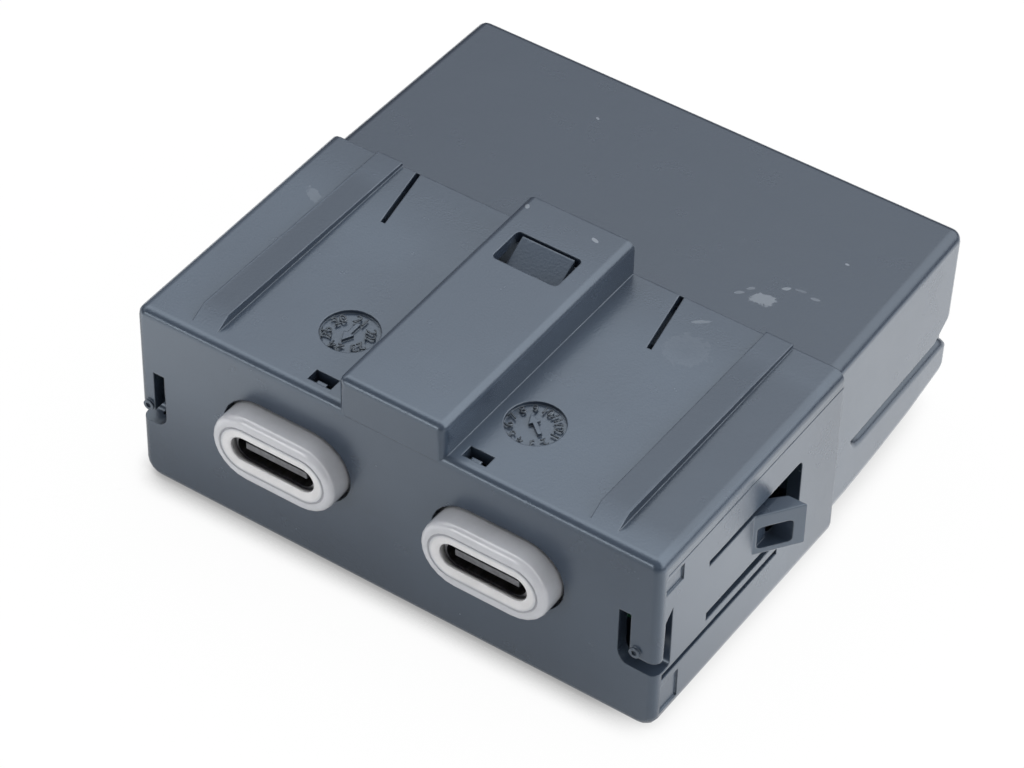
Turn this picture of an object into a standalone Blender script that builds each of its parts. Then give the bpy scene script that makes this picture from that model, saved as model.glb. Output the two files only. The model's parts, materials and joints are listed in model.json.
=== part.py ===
"""Car USB socket: a two-port USB-C charging module for a car's console.

A moulded front sleeve slides over the front of a moulded rear housing. The sleeve carries two
translucent port surrounds and flexing snap arms; the housing holds the circuit board.
Metres, +Z up, -Y is the face that the plugs enter. The origin is the bottom centre.
"""
import math

import bmesh
import bpy
from mathutils import Vector

# Fits
GAP = 0.0003
THROUGH = 0.001

# Front sleeve
SLEEVE_WIDTH = 0.0560
SLEEVE_HEIGHT = 0.0206
SLEEVE_DEPTH = 0.0294
SLEEVE_WALL = 0.0014
EDGE_RADIUS = 0.0011
BOTTOM_RADIUS = 0.0018
FRONT_RADIUS = 0.0009
EDGE_STEPS = 4

# Raised rib along the middle of the sleeve's top
RIB_HEIGHT = 0.0036
RIB_FRONT_WIDTH = 0.0113
RIB_REAR_WIDTH = 0.0115
RIB_WALL = 0.0012
RIB_EDGE_RADIUS = 0.0008
RIB_WINDOW_WIDTH = 0.0070
RIB_WINDOW_FRONT = 0.02045
RIB_WINDOW_LENGTH = 0.0043
RIB_WINDOW_X = -0.0002
RIB_WINDOW_CORNER = 0.0005

# Wedge-shaped guide rails on the sleeve's top
RAIL_INNER = 0.0198
RAIL_WIDTH = 0.0028
RAIL_START = 0.0014
RAIL_RAMP = 0.0017
RAIL_FRONT_HEIGHT = 0.0009
RAIL_REAR_HEIGHT = 0.0004

# Small windows beside the rib, near the front edge
PEEP_WIDTH = 0.0025
PEEP_FRONT = 0.00135
PEEP_LENGTH = 0.0014
PEEP_LEFT_X = -0.0086
PEEP_RIGHT_X = 0.00785
PEEP_TAB_WIDTH = 0.0010
PEEP_TAB_LENGTH = 0.0006
PEEP_TAB_SINK = 0.0003

# Relief slots from the sleeve's rear edge, both leaning the same way
SLOT_LENGTH = 0.0075
SLOT_WIDTH = 0.0005
SLOT_LEAN = 0.00135
LEFT_SLOT_X = -0.0180
RIGHT_SLOT_X = 0.01095

# Recessed date wheels of the mould
DIAL_RADIUS = 0.00278
LEFT_DIAL = (-0.01041, 0.0084)
RIGHT_DIAL = (0.00953, 0.00823)
LEFT_ARROW = (0.0, -1.0)
RIGHT_ARROW = (-0.79, 0.613)
DIAL_DEPTH = 0.00035
DIAL_STEPS = 32
ARROW_LENGTH = 0.0026
ARROW_WIDTH = 0.0004
ARROW_HEAD = 0.0011

# Springy tongues round the front corners
TONGUE_SLOT = 0.00125
TONGUE_SLOT_BOTTOM = 0.00695
TONGUE_SLOT_HEIGHT = 0.0015
TONGUE_TOP = 0.0133
TONGUE_LEFT_INSET = 0.0017
TONGUE_RIGHT_INSET = 0.0028
TONGUE_SIDE = 0.00095
TONGUE_SIDE_SLOT = 0.0012
TONGUE_OUTER_RADIUS = 0.0013
TONGUE_SIDE_RADIUS = 0.0006
TONGUE_INNER_RADIUS = 0.0003
TONGUE_SIDE_TOP = 0.0141
TONGUE_POINT = 0.0011
NUB_INSET = 0.0006
NUB_Z = 0.0091
NUB_RADIUS = 0.00055
NUB_PROUD = 0.00025
NUB_DIMPLE = 0.00028
NUB_DIMPLE_DEPTH = 0.0002

# Snap arms in the sleeve's sides, one piece with it, with a looped hook at the free end
ARM_ROOT = 0.0078
ARM_BOTTOM = 0.0085
ARM_TOP = 0.01425
ARM_UPPER_SLOT = 0.0007
ARM_LOWER_SLOT = 0.0010
ARM_WINDOW_END = 0.0230
ARM_THICKNESS = 0.0011
HOOK_START = 0.0151
HOOK_LENGTH = 0.0041
HOOK_REACH = 0.00295
HOOK_REAR_WIDTH = 0.0019
HOOK_BOTTOM = 0.0095
HOOK_WINDOW_START = 0.0003
HOOK_WINDOW_LENGTH = 0.0028
HOOK_WINDOW_BOTTOM = 0.01015
HOOK_WINDOW_HEIGHT = 0.00265
HOOK_WINDOW_CORNER = 0.00045
HOOK_EDGE = 0.00015
ARM_WINDOW_CORNER = 0.0007

# Fine grooves and shallow pockets of the side walls
SIDE_GROOVE_Z = 0.00595
SIDE_GROOVE_HEIGHT = 0.00075
SIDE_GROOVE_DEPTH = 0.0006
SIDE_GROOVE_START = 0.0009
SIDE_GROOVE_END = 0.0196
SCRIBE_Z = 0.0187
SCRIBE_HEIGHT = 0.00016
SCRIBE_DEPTH = 0.00015
POCKET_LENGTH = 0.0036
POCKET_DEPTH = 0.00018
POCKET_UPPER = (0.0164, 0.0183)
POCKET_LOWER = (0.0018, 0.0052)

# Rear housing
BODY_DEPTH = 0.0525
STEP_SIDE = 0.00065
STEP_TOP = 0.0004
STEP_BOTTOM = 0.0011
HOUSING_WALL = 0.0015
REAR_DRAFT = 0.0010
HOUSING_TAPER = 0.0005
SPIGOT_LENGTH = 0.0055
SPIGOT_WALL = 0.0011
BELLY_RISE = 0.0017
BELLY_LENGTH = 0.0190

# Recess along the housing's sides, which flares where it leaves at the rear
RECESS_START = 0.0331
RECESS_BOTTOM = 0.0067
RECESS_HEIGHT = 0.0021
RECESS_DEPTH = 0.0011
RECESS_LIP = 0.0010
RECESS_NOSE = 0.0022
FLARE_LENGTH = 0.0030
FLARE_HEIGHT = 0.0019
SHOULDER_RADIUS = 0.0016

# Catch nose of the housing, which rises in the rib's window
NOSE_WIDTH = 0.0056
NOSE_REAR_GAP = GAP
NOSE_LENGTH = 0.0038
NOSE_RISE = 0.0022
NOSE_SINK = 0.0001
TONGUE_THICKNESS = 0.0012
NOSE_TONGUE_LENGTH = 0.0050

# Latches under the sleeve, which hold the housing from below
LATCH_X = 0.0150
LATCH_WIDTH = 0.0060
LATCH_LENGTH = 0.0032
LATCH_FRONT = 0.0246
LATCH_BOTTOM = 0.0005

# USB-C ports
PORT_X = 0.01135
PORT_Z = 0.01193
PORT_PROUD = 0.0023
MOUTH_WIDTH = 0.0092
MOUTH_HEIGHT = 0.00275
MOUTH_BEVEL = 0.0003
LIP = 0.0004
SURROUND_WIDTH = 0.0134
SURROUND_HEIGHT = 0.0074
SURROUND_EDGE = 0.0006
FACE_GROOVE_OFFSET = 0.0011
FACE_GROOVE_WIDTH = 0.00025
FACE_GROOVE_DEPTH = 0.00015
FLANGE_RIM = 0.0011
FLANGE_THICKNESS = 0.0012
LIGHT_ARM_WIDTH = 0.0018
LIGHT_ARM_HEIGHT = 0.0018
LIGHT_ARM_LENGTH = 0.0045
OBROUND_STEPS = 12

# Receptacle
SHELL_WIDTH = 0.00894
SHELL_HEIGHT = 0.00316
SHELL_WALL = 0.0003
SHELL_LENGTH = 0.0074
BLADE_WIDTH = 0.00669
BLADE_THICKNESS = 0.0007
BLADE_SETBACK = 0.0001
INSULATOR_LENGTH = 0.0030
INSULATOR_TAIL = 0.0006

# Circuit board
BOARD_WIDTH = 0.0488
BOARD_THICKNESS = 0.0016
BOARD_FRONT = 0.0036
BOARD_END = 0.0480
BOARD_CORNER = 0.0010
GUIDE_WIDTH = 0.0016
GUIDE_HEIGHT = 0.0014

# Parts on the board
LED_LENGTH = 0.0016
LED_WIDTH = 0.0020
LED_HEIGHT = 0.0015
CONTROLLER_SIDE = 0.0050
CONTROLLER_HEIGHT = 0.0009
CONTROLLER_Y = 0.0130
INDUCTOR_SIDE = 0.0100
INDUCTOR_HEIGHT = 0.0042
INDUCTOR_Y = 0.0225
INDUCTOR_CORNER = 0.0014
INDUCTOR_CHAMFER = 0.0003
TRANSISTOR_WIDTH = 0.0050
TRANSISTOR_LENGTH = 0.0060
TRANSISTOR_HEIGHT = 0.0010
TRANSISTOR_Y = 0.0325
TRANSISTOR_PITCH = 0.0066
CAPACITOR_RADIUS = 0.00315
CAPACITOR_HEIGHT = 0.0058
CAPACITOR_Y = 0.0410
CAPACITOR_PITCH = 0.0067
CAPACITOR_INNER = 0.0128
CAPACITOR_STEPS = 24
CHIP_SIDE = 0.0070
CHIP_HEIGHT = 0.0010
CHIP_Y = 0.0205
CRYSTAL_WIDTH = 0.0032
CRYSTAL_LENGTH = 0.0025
CRYSTAL_HEIGHT = 0.0008
CRYSTAL_Y = 0.0275
CERAMIC_WIDTH = 0.0032
CERAMIC_LENGTH = 0.0016
CERAMIC_HEIGHT = 0.0013
CERAMIC_Y = 0.0160
CERAMIC_PITCH = 0.0050
CHOKE_WIDTH = 0.0070
CHOKE_LENGTH = 0.0060
CHOKE_HEIGHT = 0.0035
CHOKE_Y = 0.0335
FUSE_WIDTH = 0.0061
FUSE_LENGTH = 0.0026
FUSE_HEIGHT = 0.0022
FUSE_Y = 0.0118

# Heat path under the board
PAD_SIDE = 0.0140
PAD_Y = 0.0260
SPREADER_WIDTH = 0.0440
SPREADER_LENGTH = 0.0200
SPREADER_THICKNESS = 0.0015

# Rear connector
HEADER_WIDTH = 0.0180
HEADER_HEIGHT = 0.0070
HEADER_LENGTH = 0.0125
HEADER_WALL = 0.0012
HEADER_BACK = 0.0020
HEADER_OUT = 0.0004
CAVITY_CORNER = 0.0006
PIN_COUNT = 4
PIN_PITCH = 0.0035
PIN_SIDE = 0.00064
PIN_REACH = 0.0050
PIN_TAIL = 0.0016

# Places worked out from the sizes above
FRONT = -(BODY_DEPTH - PORT_PROUD) / 2
REAR = FRONT + BODY_DEPTH
SLEEVE_END = FRONT + SLEEVE_DEPTH
HALF = SLEEVE_WIDTH / 2
RIB_TOP = SLEEVE_HEIGHT + RIB_HEIGHT
HOUSING_HALF = HALF - STEP_SIDE
HOUSING_TOP = SLEEVE_HEIGHT - STEP_TOP
HOUSING_FRONT = SLEEVE_END + GAP
SPIGOT_HALF = HALF - SLEEVE_WALL - GAP
SPIGOT_BOTTOM = SLEEVE_WALL + GAP
SPIGOT_TOP = SLEEVE_HEIGHT - SLEEVE_WALL - GAP
INNER_HALF = SPIGOT_HALF - SPIGOT_WALL
INNER_BOTTOM = SPIGOT_BOTTOM + SPIGOT_WALL
INNER_TOP = SPIGOT_TOP - SPIGOT_WALL
BOARD_TOP = PORT_Z - SHELL_HEIGHT / 2 - GAP
BOARD_BOTTOM = BOARD_TOP - BOARD_THICKNESS
SEAT_Z = BOARD_TOP + GAP
SHELL_FRONT = FRONT - PORT_PROUD + LIP + GAP
WALL_BACK = FRONT + SLEEVE_WALL
LIGHT_ARM_X = SHELL_WIDTH / 2 + GAP + LIGHT_ARM_WIDTH / 2 + 0.0004

COLOURS = {
    "case_plastic": ((0.135, 0.150, 0.170), 0.42, 0.0),
    "light_guide": ((0.620, 0.630, 0.650), 0.35, 0.0),
    "shell_steel": ((0.300, 0.300, 0.310), 0.35, 1.0),
    "blade_plastic": ((0.035, 0.036, 0.040), 0.45, 0.0),
    "board_green": ((0.020, 0.110, 0.050), 0.45, 0.0),
    "chip_black": ((0.025, 0.025, 0.028), 0.50, 0.0),
    "ferrite_grey": ((0.090, 0.090, 0.095), 0.60, 0.0),
    "can_aluminium": ((0.700, 0.710, 0.720), 0.30, 1.0),
    "ceramic_tan": ((0.420, 0.300, 0.180), 0.55, 0.0),
    "led_white": ((0.850, 0.850, 0.780), 0.40, 0.0),
    "pad_grey": ((0.350, 0.370, 0.400), 0.80, 0.0),
    "header_black": ((0.030, 0.031, 0.034), 0.50, 0.0),
    "pin_tin": ((0.750, 0.730, 0.680), 0.25, 1.0),
}


def clear_scene():
    for obj in list(bpy.data.objects):
        bpy.data.objects.remove(obj, do_unlink=True)


def make_materials():
    made = {}
    for name, (colour, roughness, metallic) in COLOURS.items():
        mat = bpy.data.materials.new(name)
        mat.use_nodes = True
        shader = mat.node_tree.nodes["Principled BSDF"]
        shader.inputs["Base Color"].default_value = (*colour, 1.0)
        shader.inputs["Roughness"].default_value = roughness
        shader.inputs["Metallic"].default_value = metallic
        made[name] = mat
    return made


def new_object(name, bm, mat=None):
    """Turn a bmesh into an object with its faces pointing out."""
    bmesh.ops.recalc_face_normals(bm, faces=bm.faces)
    mesh = bpy.data.meshes.new(name)
    bm.to_mesh(mesh)
    bm.free()
    obj = bpy.data.objects.new(name, mesh)
    bpy.context.scene.collection.objects.link(obj)
    if mat is not None:
        mesh.materials.append(mat)
        mesh.shade_smooth()
        mesh.set_sharp_from_angle(angle=math.radians(30))
    return obj


def box_mesh(bm, low, high):
    """Add a box between two corners and return its vertices."""
    made = bmesh.ops.create_cube(bm, size=1.0)["verts"]
    for vert in made:
        for axis in range(3):
            vert.co[axis] = high[axis] if vert.co[axis] > 0 else low[axis]
    return made


def box(name, low, high, mat=None):
    bm = bmesh.new()
    box_mesh(bm, low, high)
    return new_object(name, bm, mat)


def copy_of(obj, name, location):
    """Another object that shares this one's mesh."""
    twin = bpy.data.objects.new(name, obj.data)
    bpy.context.scene.collection.objects.link(twin)
    twin.location = location
    return twin


def repeat(make, name, places):
    """One piece at each place: made once, then shared by the others."""
    first = make(name + "_1")
    first.location = places[0]
    for number, place in enumerate(places[1:], start=2):
        copy_of(first, name + "_" + str(number), place)


def prism(name, outline, axis, low, high, mat=None):
    """Extrude a closed outline along an axis; the outline holds the other two axes in XYZ order."""
    bm = bmesh.new()
    add_prism(bm, outline, axis, low, high)
    return new_object(name, bm, mat)


def add_prism(bm, outline, axis, low, high):
    rings = []
    for level in (low, high):
        ring = []
        for u, v in outline:
            co = [u, v]
            co.insert(axis, level)
            ring.append(bm.verts.new(co))
        rings.append(ring)
    count = len(outline)
    bm.faces.new(rings[0][::-1])
    bm.faces.new(rings[1])
    for i in range(count):
        j = (i + 1) % count
        bm.faces.new((rings[0][i], rings[0][j], rings[1][j], rings[1][i]))
    return rings


def bevel_edges(bm, chosen, radius, steps):
    edges = [edge for edge in bm.edges if chosen(*(vert.co for vert in edge.verts))]
    bmesh.ops.bevel(bm, geom=edges, offset=radius, segments=steps, profile=0.5, affect="EDGES",
                    clamp_overlap=True)


def obround(width, height, centre=(0.0, 0.0), steps=OBROUND_STEPS):
    """Points of a slot shape that is long in u, its ends half circles."""
    radius = height / 2
    reach = width / 2 - radius
    points = []
    for side, start in ((1, -90), (-1, 90)):
        for i in range(steps + 1):
            angle = math.radians(start + 180 * i / steps)
            points.append((centre[0] + side * reach + radius * math.cos(angle),
                           centre[1] + radius * math.sin(angle)))
    return points


def cutter(obj):
    obj.hide_render = True
    obj.display_type = "WIRE"
    return obj


def combine(obj, tool, operation):
    mod = obj.modifiers.new(operation.lower(), "BOOLEAN")
    mod.operation = operation
    mod.solver = "EXACT"
    mod.object = cutter(tool)


def cut(obj, *tools):
    for tool in tools:
        combine(obj, tool, "DIFFERENCE")


def add(obj, *tools):
    for tool in tools:
        combine(obj, tool, "UNION")


def arc(cu, cv, radius, start, end, steps=EDGE_STEPS):
    """Points of a circular arc between two angles in degrees."""
    points = []
    for i in range(steps + 1):
        angle = math.radians(start + (end - start) * i / steps)
        points.append((cu + radius * math.cos(angle), cv + radius * math.sin(angle)))
    return points


def rounded_rectangle(low, high, radii, steps=EDGE_STEPS):
    """An outline between two corners; radii run from the low-u low-v corner anticlockwise, 0 for sharp."""
    corners = ((low[0], low[1], 1, 1, 180), (high[0], low[1], -1, 1, 270),
               (high[0], high[1], -1, -1, 0), (low[0], high[1], 1, -1, 90))
    points = []
    for (u, v, du, dv, start), radius in zip(corners, radii):
        if radius:
            points += arc(u + du * radius, v + dv * radius, radius, start, start + 90, steps)
        else:
            points.append((u, v))
    return points


def case_section(half, low, high, inset=0.0):
    """Cross-section of the body: small rounds above, larger ones below."""
    below, above = BOTTOM_RADIUS - inset, EDGE_RADIUS - inset
    return rounded_rectangle((-half + inset, low + inset), (half - inset, high - inset),
                             (below, below, above, above))


def loft(name, stations, mat=None):
    """Skin a row of closed sections that all have the same number of points, with flat ends."""
    bm = bmesh.new()
    rings = [[bm.verts.new(point) for point in station] for station in stations]
    count = len(rings[0])
    bm.faces.new(rings[0][::-1])
    bm.faces.new(rings[-1])
    for current, following in zip(rings, rings[1:]):
        for i in range(count):
            j = (i + 1) % count
            bm.faces.new((current[i], current[j], following[j], following[i]))
    return new_object(name, bm, mat)


def rib_half(depth):
    """Half the rib's width at a distance behind the front face."""
    share = depth / SLEEVE_DEPTH
    return (RIB_FRONT_WIDTH + (RIB_REAR_WIDTH - RIB_FRONT_WIDTH) * share) / 2


def rib_block(name, inset, low, high, start, end, radius):
    """The rib's tapering block, or with an inset the hollow under it."""
    front, rear = rib_half(start) - inset, rib_half(end) - inset
    outline = [(-front, FRONT + start), (front, FRONT + start), (rear, FRONT + end), (-rear, FRONT + end)]
    bm = bmesh.new()
    add_prism(bm, outline, 2, low, high)
    if radius:
        def chosen(a, b):
            on_top = abs(a.z - high) < 1e-7 and abs(b.z - high) < 1e-7
            at_rear = abs(a.y - FRONT - end) < 1e-7 and abs(b.y - FRONT - end) < 1e-7
            upright = abs(a.x - b.x) < 1e-7 and a.y < FRONT + start + 1e-7
            return (on_top and not at_rear) or upright
        bevel_edges(bm, chosen, radius, EDGE_STEPS)
    return new_object(name, bm)


def rail(name, side):
    """A guide rail: a short ramp up, then a long fall towards the rear."""
    inner = side * RAIL_INNER
    outer = side * (RAIL_INNER + RAIL_WIDTH)
    foot = SLEEVE_HEIGHT - SLEEVE_WALL / 2
    profile = [(FRONT + RAIL_START, foot), (SLEEVE_END, foot),
               (SLEEVE_END, SLEEVE_HEIGHT + RAIL_REAR_HEIGHT),
               (FRONT + RAIL_START + RAIL_RAMP, SLEEVE_HEIGHT + RAIL_FRONT_HEIGHT),
               (FRONT + RAIL_START, SLEEVE_HEIGHT)]
    return prism(name, profile, 0, min(inner, outer), max(inner, outer))


def hook(name, side):
    """The looped wedge at the end of a snap arm, with a window through its ramp."""
    start = FRONT + HOOK_START
    end = start + HOOK_LENGTH
    tip = HALF + HOOK_REACH
    inner = HALF - ARM_THICKNESS
    outline = [(side * inner, start), (side * HALF, start), (side * tip, end),
               (side * (tip - HOOK_REAR_WIDTH), end), (side * inner, start + HOOK_LENGTH * 0.45)]
    bm = bmesh.new()
    add_prism(bm, outline, 2, HOOK_BOTTOM, ARM_TOP)

    def chosen(a, b):
        outside = min(abs(a.x), abs(b.x)) > HALF - 1e-7
        at_end = min(a.y, b.y) > end - 1e-7
        return (outside and max(a.y, b.y) > end - 1e-7) or at_end

    bevel_edges(bm, chosen, HOOK_EDGE, 2)
    body = new_object(name, bm)
    low = start + HOOK_WINDOW_START
    window = rounded_rectangle((low, HOOK_WINDOW_BOTTOM),
                               (low + HOOK_WINDOW_LENGTH, HOOK_WINDOW_BOTTOM + HOOK_WINDOW_HEIGHT),
                               (HOOK_WINDOW_CORNER,) * 4)
    x0, x1 = side_span(side, inner - THROUGH, tip + THROUGH)
    cut(body, prism(name + "_window", window, 0, x0, x1))
    return body


def side_span(side, inner, outer):
    return min(side * inner, side * outer), max(side * inner, side * outer)


def corner_slots(tag, side, inset):
    """Cutters that free a springy tongue at a front corner: one from the front, one from the side."""
    tongue = HALF - inset
    outside = HALF + THROUGH
    low, high = TONGUE_SLOT_BOTTOM, TONGUE_SLOT_BOTTOM + TONGUE_SLOT_HEIGHT
    big, small = TONGUE_OUTER_RADIUS, TONGUE_INNER_RADIUS
    left = tongue - TONGUE_SLOT
    outline = [(left, TONGUE_TOP)]
    outline += arc(left + big, low + big, big, 180, 270)
    outline += [(outside, low), (outside, high)]
    outline += arc(tongue + small, high + small, small, 270, 180)
    outline += [(tongue, TONGUE_TOP)]
    front = prism("slot_front_" + tag, [(side * u, v) for u, v in outline], 1, FRONT - THROUGH,
                  WALL_BACK + GAP / 6)
    near = FRONT + TONGUE_SIDE
    far = near + TONGUE_SIDE_SLOT
    turn = TONGUE_SIDE_RADIUS
    outline = [(FRONT - THROUGH, low)]
    outline += arc(far - turn, low + turn, turn, 270, 360)
    outline += [(far, TONGUE_SIDE_TOP), (near + TONGUE_SIDE_SLOT * 0.1, TONGUE_SIDE_TOP - TONGUE_POINT)]
    outline += arc(near - small, high + small, small, 360, 270)
    outline += [(FRONT - THROUGH, high)]
    x0, x1 = side_span(side, HALF - SLEEVE_WALL - GAP / 6, outside)
    flank = prism("slot_side_" + tag, outline, 0, x0, x1)
    return front, flank


def tongue_nub(tag, side, inset):
    """The small dimpled nub low on a tongue's front."""
    centre = (side * (HALF - inset + NUB_INSET), NUB_Z)
    nub = prism("nub_" + tag, arc(*centre, NUB_RADIUS, 0, 360 - 360 / 16, 15), 1, FRONT - NUB_PROUD,
                FRONT + SLEEVE_WALL / 2)
    dimple = prism("dimple_" + tag, arc(*centre, NUB_DIMPLE, 0, 360 - 360 / 12, 11), 1,
                   FRONT - NUB_PROUD - THROUGH, FRONT - NUB_PROUD + NUB_DIMPLE_DEPTH)
    return nub, dimple


def arm_cuts(tag, side):
    """The C-shaped opening round a snap arm, wider behind where the hook flexes, and its thinned back."""
    skin = HALF - SLEEVE_WALL - THROUGH
    x0, x1 = side_span(side, skin, HALF + THROUGH)
    root = FRONT + ARM_ROOT
    end = FRONT + ARM_WINDOW_END
    neck = FRONT + HOOK_START + HOOK_LENGTH * 0.5
    low, high = ARM_BOTTOM - ARM_LOWER_SLOT, ARM_TOP + ARM_UPPER_SLOT
    turn = ARM_WINDOW_CORNER
    outline = [(root, low)]
    outline += arc(end - turn, low + turn, turn, 270, 360)
    outline += arc(end - turn, high - turn, turn, 0, 90)
    outline += [(root, high), (root, ARM_TOP), (neck, ARM_TOP), (neck, ARM_BOTTOM), (root, ARM_BOTTOM)]
    opening = prism("arm_opening_" + tag, outline, 0, x0, x1)
    x0, x1 = side_span(side, skin, HALF - ARM_THICKNESS)
    relief = box("arm_relief_" + tag, (x0, root, ARM_BOTTOM - ARM_LOWER_SLOT / 2),
                 (x1, end - turn, ARM_TOP + ARM_UPPER_SLOT / 2))
    return opening, relief


def side_marks(tag, side):
    """Fine grooves and shallow pockets in a side wall."""
    tools = []
    x0, x1 = side_span(side, HALF - SIDE_GROOVE_DEPTH, HALF + THROUGH)
    tools.append(box("side_groove_" + tag, (x0, FRONT + SIDE_GROOVE_START, SIDE_GROOVE_Z),
                     (x1, FRONT + SIDE_GROOVE_END, SIDE_GROOVE_Z + SIDE_GROOVE_HEIGHT)))
    x0, x1 = side_span(side, HALF - SCRIBE_DEPTH, HALF + THROUGH)
    tools.append(box("scribe_" + tag, (x0, FRONT + EDGE_RADIUS, SCRIBE_Z),
                     (x1, SLEEVE_END + THROUGH, SCRIBE_Z + SCRIBE_HEIGHT)))
    x0, x1 = side_span(side, HALF - POCKET_DEPTH, HALF + THROUGH)
    for place, (low, high) in (("high", POCKET_UPPER), ("low", POCKET_LOWER)):
        tools.append(box("pocket_" + place + tag, (x0, FRONT + SIDE_GROOVE_START, low),
                         (x1, FRONT + POCKET_LENGTH, high)))
    return tools


def slanted_slot(name, x_rear):
    """A relief slot in the top plate that leans to +X towards the front."""
    half = SLOT_WIDTH / 2
    rear = SLEEVE_END + THROUGH
    front = SLEEVE_END - SLOT_LENGTH
    extra = SLOT_LEAN * THROUGH / SLOT_LENGTH
    outline = [(x_rear - extra - half, rear), (x_rear + SLOT_LEAN - half, front),
               (x_rear + SLOT_LEAN + half, front), (x_rear - extra + half, rear)]
    return prism(name, outline, 2, SLEEVE_HEIGHT - SLEEVE_WALL - THROUGH, SLEEVE_HEIGHT + THROUGH)


def dial(name, place, pointing):
    """A cutter for one date wheel: a shallow round recess that leaves an arrow standing."""
    cx, cy = place[0], FRONT + place[1]
    ring = arc(cx, cy, DIAL_RADIUS, 0, 360 - 360 / DIAL_STEPS, DIAL_STEPS - 1)
    recess = prism(name, ring, 2, SLEEVE_HEIGHT - DIAL_DEPTH, SLEEVE_HEIGHT + THROUGH)
    half, wide, reach = ARROW_WIDTH / 2, ARROW_HEAD / 2, ARROW_LENGTH / 2
    shape = [(-reach, -half), (reach - ARROW_HEAD, -half), (reach - ARROW_HEAD, -wide), (reach, 0.0),
             (reach - ARROW_HEAD, wide), (reach - ARROW_HEAD, half), (-reach, half)]
    dx, dy = pointing
    outline = [(cx + u * dx - v * dy, cy + u * dy + v * dx) for u, v in shape]
    arrow = prism(name + "_arrow", outline, 2, SLEEVE_HEIGHT - DIAL_DEPTH - THROUGH,
                  SLEEVE_HEIGHT - GAP / 10)
    cut(recess, arrow)
    return recess


def sleeve_block(mat):
    """The sleeve's outer block: the body's section run back from a rounded front edge."""
    stations = []
    for i in range(EDGE_STEPS + 1):
        angle = math.radians(90 * i / EDGE_STEPS)
        inset = FRONT_RADIUS * (1 - math.sin(angle))
        y = FRONT + FRONT_RADIUS * (1 - math.cos(angle))
        stations.append([(x, y, z) for x, z in case_section(HALF, 0.0, SLEEVE_HEIGHT, inset)])
    stations.append([(x, SLEEVE_END, z) for x, z in case_section(HALF, 0.0, SLEEVE_HEIGHT)])
    return loft("front_sleeve", stations, mat)


def peep_window(tag, x):
    """A small window beside the rib and the sunken tab that stays at its front edge."""
    x0, x1 = x - PEEP_WIDTH / 2, x + PEEP_WIDTH / 2
    y0 = FRONT + PEEP_FRONT
    opening = box("peep_" + tag, (x0, y0, SLEEVE_HEIGHT - SLEEVE_WALL - THROUGH),
                  (x1, y0 + PEEP_LENGTH, SLEEVE_HEIGHT + THROUGH))
    tab = box("peep_tab_" + tag,
              (x - PEEP_TAB_WIDTH / 2, y0 - PEEP_TAB_LENGTH / 2, SLEEVE_HEIGHT - SLEEVE_WALL),
              (x + PEEP_TAB_WIDTH / 2, y0 + PEEP_TAB_LENGTH, SLEEVE_HEIGHT - PEEP_TAB_SINK))
    return opening, tab


def make_front_sleeve(mat):
    """The front moulding: a box open at the rear with the rib, rails, snap arms and port holes."""
    sleeve = sleeve_block(mat)
    add(sleeve, rib_block("rib", 0.0, SLEEVE_HEIGHT - SLEEVE_WALL / 2, RIB_TOP, 0.0, SLEEVE_DEPTH,
                          RIB_EDGE_RADIUS))
    cavity = box("sleeve_cavity", (-HALF + SLEEVE_WALL, WALL_BACK, SLEEVE_WALL),
                 (HALF - SLEEVE_WALL, SLEEVE_END + THROUGH, SLEEVE_HEIGHT - SLEEVE_WALL))
    tunnel = rib_block("rib_tunnel", RIB_WALL, SLEEVE_HEIGHT / 2, RIB_TOP - RIB_WALL, RIB_WALL,
                       SLEEVE_DEPTH + THROUGH, 0.0)
    cut(sleeve, cavity, tunnel)
    for side in (-1, 1):
        add(sleeve, rail("rail_" + str(side), side))
    y0 = FRONT + RIB_WINDOW_FRONT
    window = rounded_rectangle((RIB_WINDOW_X - RIB_WINDOW_WIDTH / 2, y0),
                               (RIB_WINDOW_X + RIB_WINDOW_WIDTH / 2, y0 + RIB_WINDOW_LENGTH),
                               (RIB_WINDOW_CORNER,) * 4)
    cut(sleeve, prism("rib_window", window, 2, RIB_TOP - RIB_WALL - THROUGH, RIB_TOP + THROUGH))
    for tag, side, inset, peep_x, place, pointing in (
            ("left", -1, TONGUE_LEFT_INSET, PEEP_LEFT_X, LEFT_DIAL, LEFT_ARROW),
            ("right", 1, TONGUE_RIGHT_INSET, PEEP_RIGHT_X, RIGHT_DIAL, RIGHT_ARROW)):
        nub, dimple = tongue_nub(tag, side, inset)
        add(sleeve, nub)
        cut(sleeve, dimple, *corner_slots(tag, side, inset))
        cut(sleeve, *arm_cuts(tag, side))
        add(sleeve, hook("hook_" + tag, side))
        cut(sleeve, *side_marks(tag, side))
        cut(sleeve, dial("dial_" + tag, place, pointing))
        opening, tab = peep_window(tag, peep_x)
        cut(sleeve, opening)
        add(sleeve, tab)
        hole = obround(SURROUND_WIDTH + 2 * GAP, SURROUND_HEIGHT + 2 * GAP, (side * PORT_X, PORT_Z))
        cut(sleeve, prism("port_hole_" + tag, hole, 1, FRONT - THROUGH, WALL_BACK + THROUGH))
        x0, x1 = side_span(side, LATCH_X - LATCH_WIDTH / 2, LATCH_X + LATCH_WIDTH / 2)
        cut(sleeve, box("latch_window_" + tag, (x0, FRONT + LATCH_FRONT, -THROUGH),
                        (x1, FRONT + LATCH_FRONT + LATCH_LENGTH, SLEEVE_WALL + THROUGH)))
    cut(sleeve, slanted_slot("slot_left", LEFT_SLOT_X), slanted_slot("slot_right", RIGHT_SLOT_X))
    return sleeve


def housing_half(y):
    """Half the housing's width, which narrows a little towards the rear."""
    return HOUSING_HALF - HOUSING_TAPER * (y - HOUSING_FRONT) / (REAR - HOUSING_FRONT)


def rear_at(z):
    """How far back the housing's drafted rear face stands at a height."""
    return REAR - REAR_DRAFT * (HOUSING_TOP - z) / (HOUSING_TOP - STEP_BOTTOM)


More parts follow.
